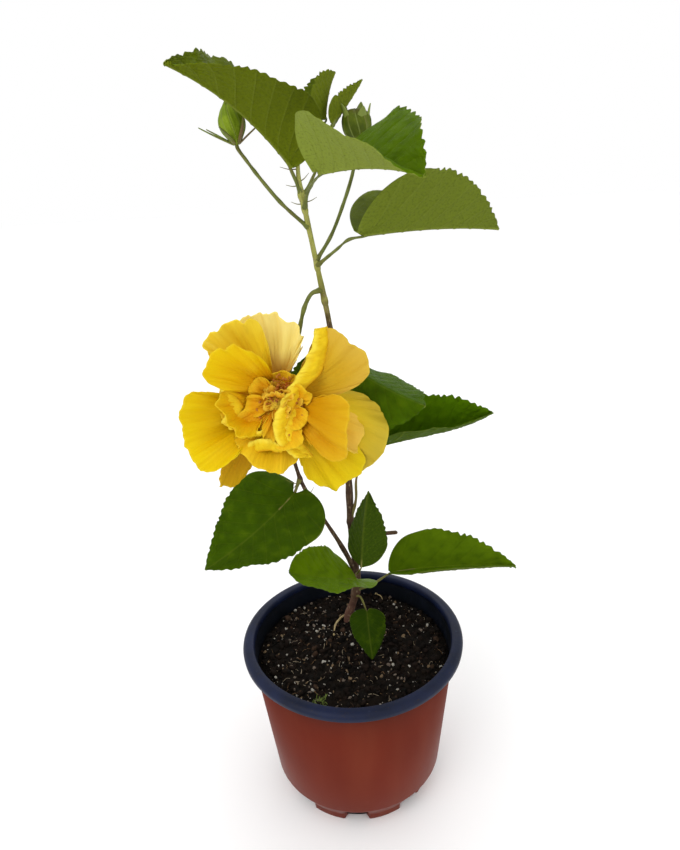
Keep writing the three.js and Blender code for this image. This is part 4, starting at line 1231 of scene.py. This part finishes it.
heart = {
    "column": [  # radius and height
        (0.4, -2.9), (6.5, -2.9), (3.8, 2.2), (4.2, 6), (5.2, 10), (4.8, 13.5), (2.6, 16), (0.4, 16.6),
    ],
    "foot": -2.9, "tip": 16.8, "around": 60, "swellings": 5, "swelling": 0.12,
    "petaloids": 20, "turn": 137.5,  # degrees from one petaloid to the next
    "openSide": 200,  # they are shorter towards this heading
    "anthers": [  # count, and the point from which they spread
        (26, (1, 3, 13)), (14, (3, 9, 10)), (10, (10.5, -2.5, 11)), (8, (4, -18, 10)), (6, (-7, -2, 11)),
    ],
    "thread": 0.16, "head": 0.75,
    "tones": ["#cc820e", "#dc9c18", "#e6bc38"],
}
heartRest = {
    "shoulder": 0.8, "taper": 0.35, "cell": 0.6, "thick": 0.4, "frill": 0.6, "ruffle": 6,
    "corner": 1, "swell": 0.6, "crinkle": 0.3,
}


def makeColumn(paint):
    profile = rounded(heart["column"], 2.5, 6)
    body = lathe(profile, heart["around"])
    turn = np.arctan2(body[..., 1], body[..., 0])
    above = ramp(body[..., 2], 2.2, 10)
    swell = 1 + heart["swelling"] * above * np.cos(heart["swellings"] * turn)
    swell = swell + 0.12 * above * waves(turn * 3, body[..., 2] / 2, 2.4, 5, 14)
    body[..., :2] *= swell[..., None]
    points, *faces = capped(body, [0, 0, heart["foot"]], [0, 0, heart["tip"]])
    flat = np.stack([np.arctan2(points[:, 1], points[:, 0]) / 3, points[:, 2] / 20 + 0.3], -1)
    maps = {"bladePlace": flat * [0, 1], "fanPlace": flat}
    makePiece("core_column", inBloom(points), faces, [paint], ["core"], maps)


def makeCrumpledPetaloids(paint):
    dice = np.random.default_rng(12)
    for index in range(heart["petaloids"]):
        level = 3 + 11 * index / heart["petaloids"]
        heading = index * heart["turn"] + dice.uniform(-14, 14)
        away = ramp(math.cos(math.radians(heading - heart["openSide"] + 180)), -0.9, 0.3)
        plan = {
            "level": level, "heading": heading, "base": polar(3.2 - level * 0.05, heading, level),
            "rise": 38 + level * 2.6 + dice.uniform(-8, 8), "bend": dice.uniform(-70, 10),
            "sweep": dice.uniform(-40, 40), "roll": dice.uniform(-45, 45), "twist": dice.uniform(-50, 50),
            "length": dice.uniform(8, 13) * (0.6 + 0.4 * away), "width": dice.uniform(3.5, 5.2),
            "foldLeft": dice.uniform(-10, 45), "foldRight": dice.uniform(-10, 45),
        }
        makePetal(f"heart_{index:02d}", {**heartRest, **plan}, paint)


def makeAnthers():
    dice = np.random.default_rng(3)
    threads, heads = [], []
    roots = [root for count, root in heart["anthers"] for _ in range(count)]
    for index, root in enumerate(roots):
        turn, rise = index * 2.4, dice.uniform(0.4, 1.4)
        away = np.array([math.cos(turn) * math.cos(rise), math.sin(turn) * math.cos(rise), math.sin(rise)])
        root = np.array(root) + away * [1.6, 1.6, 0]
        tip = root + away * dice.uniform(3, 5.2) + dice.normal(0, 0.5, 3)
        threads.append(tube(curveThrough([root, root + away * 1.8, tip], 7), heart["thread"], 5))
        side = unit(np.cross(away, [0.3, 0.2, 1])) * heart["head"]
        ends = curveThrough([tip - side, tip + away * 0.25, tip + side], 9)
        swell = 0.24 + 0.26 * np.sin(np.pi * np.linspace(0.04, 0.96, 9))
        heads.append(tube(ends, swell, 8))
    threadPaint = Paint("filament", Roughness=0.5)
    mottle = threadPaint.cloud(threadPaint.place(), 900)
    threadPaint.set("Base Color", threadPaint.coats("#d8842c", (mottle, "#b8501c")))
    pollenPaint = Paint("pollen", Roughness=0.85)
    grains = pollenPaint.cells(pollenPaint.place(), 5200, "F1")
    pollenPaint.set("Base Color", pollenPaint.coats("#e0a030", (grains.step(0.2, 0.7), "#a85414")))
    pollenPaint.bump(1 - grains, 0.0002)
    for name, parts, paint in (("threads", threads, threadPaint), ("heads", heads, pollenPaint)):
        points, faces = joined(parts)
        makePiece(f"anther_{name}", inBloom(points), faces, [paint])


heartPaint = petalPaint("heartPetaloid", *heart["tones"])
makeColumn(heartPaint)
makeCrumpledPetaloids(heartPaint)
makeAnthers()
print("heart of the bloom made")


# Calyx and buds: green sepals with ribs, and a whorl of narrow bracts below them

budCut = {
    "around": 70, "rows": 44, "closesAt": 0.97,  # where its end is closed, as a share of the length
    "tooth": 6.5, "toothWidth": 2.3, "toothSpread": 4, "toothRoot": 0.66, "bractStand": 1.6,
    "stalkFoot": 0.9, "stalkTip": 0.85,  # radii
}
bractCut = {"rows": 16, "columns": 7, "width": 0.8, "thick": 0.4, "lift": 0.2}
buds = {
    "left": {
        "height": 337, "via": [[-21.9, 3, 349], [-30.2, 4, 359.5], [-36.7, 5, 368.7]],
        "foot": [-40.3, 6, 375.2], "tip": [-42.9, 8, 394],
        "girth": 6.2, "spread": 50, "bracts": 7, "bract": 15, "rib": 0.06, "seam": 0.2, "teeth": 0,
        "tones": ["#6a8010", "#82981c", "#4c5c10"],
        "shape": [  # breadth and height, as shares of girth and length
            [0, 0], [0.3, 0.02], [0.55, 0.14], [0.94, 0.38],
            [0.98, 0.54], [0.75, 0.75], [0.36, 0.93], [0.06, 1],
        ],
    },
    "right": {
        "height": 321, "via": [[0, 7, 332.6], [6.5, 10, 346.2], [11.9, 12, 360.6]],
        "foot": [14.4, 13, 374.6], "tip": [14.5, 13, 387.5],
        "girth": 6.8, "spread": 32, "bracts": 7, "bract": 10, "rib": 0.07, "seam": 0.26, "teeth": 5,
        "tones": ["#44520a", "#5e6c14", "#523c20"],
        "shape": [[0, 0], [0.4, 0.03], [0.8, 0.16], [1, 0.46], [0.93, 0.78], [0.6, 0.95], [0.08, 1.0]],
    },
}


def sepalPaint(name, green, pale, stripe):
    paint = Paint(name, Specular_IOR_Level=0.14)
    seam, far = paint.map("sepalPlace", "X"), paint.map("sepalPlace", "Y")
    place = paint.place()
    fibre = paint.cloud(paint.map("sepalPlace"), 60, 4)
    mottle = paint.cloud(place, 190, 3).step(0.3, 0.7)
    ribs = 1 - abs((seam * 10 + 0.5).fraction() - 0.5).step(0.0, 0.13)
    seams = 1 - abs((seam * 5).fraction() - 0.5).step(0.0, 0.06)
    paint.set("Base Color", paint.coats(
        green, (mottle, pale), (ribs * 0.45, "#a0ae5c"),
        (seams * far.step(0.2, 0.7) * 0.6, stripe), (far.step(0.8, 1.0) * 0.4, stripe),
    ))
    paint.set("Roughness", 0.5 + fibre * 0.2)
    paint.bump(fibre * 0.5 + ribs * 0.8 - seams, 0.0004)
    return paint


def axesAbout(direction):
    up = unit(np.asarray(direction, float))
    across = unit(np.cross([0, 1, 0.2], up))
    return np.stack([across, np.cross(up, across), up])


def makeBud(place, plan):
    foot, tip = np.array(plan["foot"], float), np.array(plan["tip"], float)
    long = np.linalg.norm(tip - foot)
    axes = axesAbout(tip - foot)
    shape = curveThrough([[w, h, 0] for w, h in plan["shape"]], budCut["rows"])
    paint = sepalPaint(f"sepals{place}", *plan["tones"])
    turn = np.arange(budCut["around"]) * 2 * np.pi / budCut["around"]
    around, far = np.meshgrid(turn, shape[:, 1])
    wide = np.meshgrid(turn, shape[:, 0])[1]
    spiral = around + 0.5 * far
    seam = abs(np.sin(2.5 * spiral))  # 0 where two sepals meet
    rib = np.cos(5 * spiral) * 0.5 + np.cos(10 * spiral) * 0.5
    groove = plan["seam"] * np.exp(-((seam / 0.2) ** 2)) * far
    radius = plan["girth"] * wide * (1 + plan["rib"] * rib - groove)
    height = long * (far + 0.07 * ramp(far, 0.75, 1) * (seam - 0.6))
    rings = np.stack([radius * np.cos(around), radius * np.sin(around), height], -1)
    points, *faces = capped(rings, [0, 0, 0], [0, 0, long * budCut["closesAt"]])
    spot = np.stack([spiral / (2 * np.pi) % 2, far], -1).reshape(-1, 2)
    maps = {"sepalPlace": np.vstack([spot, [[0, 0], [0, 1]]])}
    makePiece(f"bud_{place}_sepals", points @ axes + foot, faces, [paint], [f"bud_{place}"], maps)
    makeBracts(f"bud_{place}_bracts", foot, axes, count=plan["bracts"], spread=plan["spread"],
               stand=budCut["bractStand"], long=plan["bract"])
    if plan["teeth"]:
        upper = foot + axes[2] * long * budCut["toothRoot"]
        makeBracts(f"bud_{place}_teeth", upper, axes, count=plan["teeth"], spread=budCut["toothSpread"],
                   stand=plan["girth"] * 0.86, long=budCut["tooth"], wide=budCut["toothWidth"], paint=paint)
    path = [*plan["via"], foot - axes[2] * 1.2, foot + axes[2] * 0.8]
    makeStalk(f"stalk_bud_{place}", mainStem, plan["height"], path,
              budCut["stalkFoot"], budCut["stalkTip"], greenStalk)


def makeBracts(name, foot, axes, count, spread, stand, long, wide=bractCut["width"], paint=None):
    dice = np.random.default_rng(len(name) + count)
    share, side = np.meshgrid(
        np.linspace(0, 1, bractCut["rows"]), np.linspace(-1, 1, bractCut["columns"]), indexing="ij"
    )
    parts = []
    for index in range(count):
        heading = index * 360 / count + dice.uniform(-12, 12)
        blade = Blade({
            "base": polar(stand, heading, bractCut["lift"]), "heading": heading,
            "rise": 90 - spread + dice.uniform(-12, 12), "bend": dice.uniform(-10, 35),
            "length": long * dice.uniform(0.8, 1.15), "width": wide, "lobe": 0, "shoulder": 0.3,
            "taper": 0.9, "foldLeft": 25, "foldRight": 25, "crease": 0.3,
        })
        sheet = thickened(blade.place(share, side), bractCut["thick"]).reshape(-1, 3)
        faces = np.vstack(sheetFaces(bractCut["rows"], bractCut["columns"]))
        parts.append((sheet @ axes + foot, faces, np.zeros((0, 3), int)))
    points, faces = joined(parts)
    makePiece(name, points, faces[:1], [paint or bractPaint])


calyxPaint = sepalPaint("calyxSepal", "#5a7420", "#70882e", "#8a8a40")
bractPaint = stalkPaint("bract", "#5a6a24", "#6c7c2c", "#7c4c48")
for place, plan in buds.items():
    makeBud(place, plan)

calyx = {  # in the bloom's frame
    "back": -16, "front": -5,
    "profile": [  # radius and height
        (0.6, -16), (3, -16), (5.8, -12), (6.9, -7.2), (7.2, -3.2), (6.2, -3.3), (5.6, -5), (0.6, -5),
    ],
    "around": 80, "teeth": 5, "toothLift": 2.4, "ribs": 10, "rib": 0.035,
    "bracts": {"count": 8, "spread": 40, "stand": 3, "long": 11},
    "stalkLeaves": 307, "stalkFoot": 1.0, "stalkTip": 1.25,
    "stalk": [(-10.8, 4, 306.2), (-14.5, 2, 300.7), (-18.3, 0, 288.3), (-21.7, 0, 276.7), (-26.3, 4, 263)],
}


def makeCalyx():
    back, front = [0, 0, calyx["back"]], [0, 0, calyx["front"]]
    body = lathe(rounded(calyx["profile"], 2, 6), calyx["around"])
    turn = np.arctan2(body[..., 1], body[..., 0])
    above = ramp(body[..., 2], -9, -3)
    body[..., 2] += above * calyx["toothLift"] * (abs(np.cos(calyx["teeth"] / 2 * turn)) - 0.7)
    ribs = 1 + calyx["rib"] * np.cos(calyx["ribs"] * turn) * ramp(body[..., 2], calyx["back"], -12)
    body[..., :2] *= ribs[..., None]
    points, *faces = capped(body, back, front)
    spot = np.stack([turn / (2 * np.pi) + 0.5, above], -1).reshape(-1, 2)
    maps = {"sepalPlace": np.vstack([spot, [[0, 0], [0, 0]]])}
    makePiece("calyx_cup", inBloom(points), faces, [calyxPaint], ["calyx"], maps)
    makeBracts("calyx_bracts", inBloom([0, 0, calyx["back"] + 0.4]), bloomAxes, **calyx["bracts"])
    ends = [inBloom([0, 0, calyx["back"] - 1.3]), inBloom([0, 0, calyx["back"] + 1])]
    makeStalk("stalk_bloom", mainStem, calyx["stalkLeaves"], [*calyx["stalk"], *ends],
              calyx["stalkFoot"], calyx["stalkTip"], greenStalk)


makeCalyx()
print("buds and calyx made")


# Stipules: hair-like pairs beside the leaf stalks

stipules = [
    [(-17.8, 2, 364.1), (-21.4, 2, 365.1)], [(-15.7, 2, 356.6), (-19.3, 2, 357.2)],
    [(-13.6, 3, 348.5), (-17.6, 3, 349.6)], [(-11.9, 2, 358.2), (-8.5, 2, 361.9)],
    [(-7.4, 2, 350), (-5.5, 2, 351.2)], [(-26.7, 6, 198.5), (-31.8, 6, 203.8)],
    [(-24.8, 6.4, 203.6), (-29.6, 6, 196.8)], [(-20.6, 8.4, 193), (-16.8, 6, 198.5)],
]


def makeStipules():
    parts = []
    for foot, tip in stipules:
        foot, tip = np.array(foot, float), np.array(tip, float)
        stem = min((mainStem.path, sideBranch.path), key=lambda path: abs(path - foot).sum(1).min())
        root = stem[np.argmin(np.linalg.norm(stem - foot, axis=1))]
        middle = (root + tip) / 2 + [0, -0.6, -0.5]
        parts.append(tube(curveThrough([root, middle, tip], 14), np.linspace(0.34, 0.1, 14), 7))
    points, faces = joined(parts)
    makePiece("stipules", points, faces, [warmStalk])


makeStipules()
print("stipules made")


# Peat: a lumpy dark fill with crumbs, pale grains and fibres, a twig, rootlets and a tuft of moss

peat = {
    "level": 91, "edgeDrop": 1.6, "edgeFrom": 50, "rings": 84, "around": 380, "relief": 1.5,
    "centre": 0.5, "reach": 56.7, "sinkFrom": 53, "sunk": 2.6,  # it sinks a little where it meets the wall
    "wallGap": 0.35, "wallLevels": (87, 84, 60, 36, 16.5),
    "footGap": 2.4, "footLevel": 6.5, "foot": 2.9, "ringRadius": 20,
    "spread": 56, "crumbs": 1500, "chips": 300, "grains": 620,
    "fibres": 190, "fibreSpread": 54, "fibreSteps": 5,
    "moss": (-19.8, -42), "mossBlades": 90,
}
twigs = [  # [(x, y, height above the peat), ...], radius
    [[(-2.8, 30.4, 1.6), (-5.6, 28.2, 2.4), (-8, 24.9, 2.2), (-10.4, 18, 1.8), (-11.4, 10.9, 1.2)], 0.75],
    [[(18, 53.4, 1), (16.8, 50, 2.6), (16.1, 45.4, 1)], 0.4],
    [[(16.8, 50, 2.4), (20, 47.5, 2), (21.4, 44, 0.8)], 0.35],
]


def peatHeight(x, y):
    far = math.hypot(x, y)
    lump = noise.fractal(Vector((x, y, 3)) / 13, 0.9, 2.1, 4) * 1.2
    fine = noise.fractal(Vector((x, y, 9)) / 3.4, 0.8, 2.2, 3) * 0.9
    crack = abs(noise.noise(Vector((x, y, 20)) / 5.5)) * 1.6 - 0.4
    wall = max(far - peat["edgeFrom"], 0) / 7
    return peat["level"] - peat["edgeDrop"] * wall + peat["relief"] * (lump + fine - crack) * 0.62


def soilPaint(name, dark, brown, fleck):
    paint = Paint(name, Specular_IOR_Level=0.08)
    place = paint.place()
    grit = paint.cloud(place, 900, 5, 0.65)
    mottle = paint.cloud(place, 140, 3).step(0.35, 0.7)
    paint.set("Base Color", paint.coats(dark, (mottle, brown), (grit.step(0.62, 0.75) * 0.6, fleck)))
    paint.set("Roughness", 0.75 + grit * 0.2)
    paint.bump(grit + paint.cloud(place, 2600, 2) * 0.4, 0.0008)
    return paint


def makePeat():
    level, around, rings = peat["level"], peat["around"], peat["rings"]
    wide = peat["reach"] - peat["centre"]
    reach = [peat["centre"] + wide * (i / (rings - 1)) for i in range(rings)]
    turn = np.arange(around) * 2 * np.pi / around
    top = lathe([(r, level) for r in reach], around)
    for row in top:
        for point in row:
            point[2] = peatHeight(point[0], point[1])
    sink = ramp(np.array(reach), peat["sinkFrom"], peat["reach"])[:, None]
    top[..., 2] = top[..., 2] * (1 - sink) + (level - peat["sunk"] + 0 * turn) * sink
    footRadius = pot["footRadius"] - peat["footGap"]
    down = [(innerRadius(h) - peat["wallGap"], h) for h in peat["wallLevels"]]
    down += [(footRadius, peat["footLevel"]), (footRadius, peat["foot"])]
    down += [(peat["ringRadius"], peat["foot"]), (peat["centre"], peat["foot"])]
    body = np.concatenate([top, lathe(down, around)])
    points, *faces = capped(body, [0, 0, peatHeight(0, 0)], [0, 0, peat["foot"]], flip=False)
    paint = soilPaint("peat", "#0e0b08", "#18120d", "#40342a")
    makePiece("peat_bed", points, faces, [paint], ["soil"])


pebble = bpy.data.meshes.new("pebbleShape")  # a rough 42-point lump that each crumb reshapes
shape = bmesh.new()
bmesh.ops.create_icosphere(shape, subdivisions=2, radius=1)
shape.to_mesh(pebble)
shape.free()
lumpPoints = np.array([v.co for v in pebble.vertices])
lumpFaces = np.array([list(p.vertices) for p in pebble.polygons])
bpy.data.meshes.remove(pebble)


def spotOnPeat(dice, spread):
    far, turn = spread * math.sqrt(dice.uniform(0, 1)), dice.uniform(0, 2 * math.pi)
    return far * math.cos(turn), far * math.sin(turn)


def crumb(dice, size, flat):
    x, y = spotOnPeat(dice, peat["spread"] - size)
    spin, _ = np.linalg.qr(dice.normal(0, 1, (3, 3)))
    across, up = lumpPoints[:, 0] * 2, lumpPoints[:, 1] * 2 + lumpPoints[:, 2]
    bumpy = 1 + 0.3 * waves(across, up, 2.6, int(dice.integers(1e6)))
    sizes = np.array([1, dice.uniform(flat + 0.1, 1), dice.uniform(flat, 1)])
    shape = lumpPoints * bumpy[:, None] * size * sizes
    return shape @ spin + [x, y, peatHeight(x, y) + size * dice.uniform(-0.1, 0.45)]


def scatter(name, count, sizes, flat, paints, seed):
    dice = np.random.default_rng(seed)
    points, paintOf = [], []
    for _ in range(count):
        size = sizes[0] + (sizes[1] - sizes[0]) * dice.uniform(0, 1) ** 2.5
        points.append(crumb(dice, size, flat))
        paintOf.append(int(dice.integers(len(paints))))
    faces = np.vstack([lumpFaces + i * len(lumpPoints) for i in range(count)])
    makePiece(name, np.vstack(points), [faces], paints, paintOf=np.repeat(paintOf, len(lumpFaces)))


def fibreWalk(dice, x, y, heading, long):  # it stops at the edge of the peat
    steps = peat["fibreSteps"]
    walk, bow = [], dice.uniform(-0.5, 0.5)
    for step in range(steps):
        lift = 0.35 + 0.9 * math.sin(step / (steps - 1) * math.pi) * dice.uniform(0.2, 1)
        walk.append([x, y, peatHeight(x, y) + lift])
        x = x + long / (steps - 1) * math.cos(heading)
        y = y + long / (steps - 1) * math.sin(heading)
        if math.hypot(x, y) > peat["fibreSpread"]:
            break
        heading += bow
    return walk


def makeFibres():
    dice = np.random.default_rng(8)
    parts, paintOf = [], []
    for _ in range(peat["fibres"]):
        x, y = spotOnPeat(dice, peat["fibreSpread"])
        heading, long = dice.uniform(0, 2 * math.pi), 1.6 + 4.5 * dice.uniform(0, 1) ** 2
        walk = fibreWalk(dice, x, y, heading, long)
        if len(walk) < 3:
            continue
        part = tube(curveThrough(walk, 12), dice.uniform(0.1, 0.24) * np.linspace(1, 0.6, 12), 5)
        parts.append(part)
        paintOf.append((int(dice.integers(3)), len(part[1]), len(part[2])))
    points, faces = joined(parts)
    quads = np.repeat([p[0] for p in paintOf], [p[1] for p in paintOf])
    caps = np.repeat([p[0] for p in paintOf], [p[2] for p in paintOf])
    makePiece("peat_fibres", points, faces, fibrePaints, paintOf=np.concatenate([quads, caps]))


def makeTwigs():
    parts = []
    for walk, thick in twigs:
        path = curveThrough([[x, y, peatHeight(x, y) + lift] for x, y, lift in walk], 36)
        knots = 1 + 0.18 * waves(np.linspace(0, 12, 36), np.zeros(36), 4, 6)
        parts.append(tube(path, thick * knots * np.linspace(1, 0.7, 36), 10))
    points, faces = joined(parts)
    paint = soilPaint("paleTwig", "#a8946a", "#c0ac80", "#d4c49c")
    makePiece("peat_twigs", points, faces, [paint])


def makeMoss():
    dice = np.random.default_rng(21)
    parts = []
    for _ in range(peat["mossBlades"]):
        x, y = np.array(peat["moss"]) + dice.normal(0, 1.7, 2)
        foot = np.array([x, y, peatHeight(x, y) - 0.2])
        lean = np.array([*dice.normal(0, 0.55, 2), 1])
        tip = foot + unit(lean) * dice.uniform(1.4, 3)
        walk = curveThrough([foot, (foot + tip) / 2 + [0, 0, 0.2], tip], 6)
        parts.append(tube(walk, np.linspace(0.3, 0.08, 6), 5))
    points, faces = joined(parts)
    paint = Paint("moss", Roughness=0.7)
    paint.set("Base Color", paint.coats("#4c6420", (paint.cloud(paint.place(), 700), "#8a9a44")))
    makePiece("peat_moss", points, faces, [paint])


makePeat()
crumbPaints = [
    soilPaint("crumbBlack", "#0d0b09", "#15100d", "#302620"),
    soilPaint("crumbBrown", "#15100c", "#1f1711", "#42342a"),
    soilPaint("crumbRust", "#17110d", "#211813", "#44342a"),
]
grainPaints = [
    soilPaint("grainTan", "#6e5c46", "#8a745a", "#b0a084"),
    soilPaint("grainGrey", "#665a50", "#7c7064", "#a09686"),
    soilPaint("grainWhite", "#a8a398", "#bdb8ae", "#dcd8d0"),
]
fibrePaints = [
    soilPaint("fibrePale", "#8c7e68", "#a89a84", "#c8bca8"),
    soilPaint("fibreTan", "#70583f", "#86694c", "#a08866"),
    soilPaint("fibreBrown", "#33261c", "#443227", "#6a5644"),
]
scatter("peat_crumbs", peat["crumbs"], (0.5, 2.2), 0.5, crumbPaints, 4)
scatter("peat_chips", peat["chips"], (0.7, 2.4), 0.18, [crumbPaints[1], crumbPaints[2], fibrePaints[2]], 5)
scatter("peat_grains", peat["grains"], (0.35, 1.35), 0.28, grainPaints, 6)
makeFibres()
makeTwigs()
makeMoss()
print("peat made")
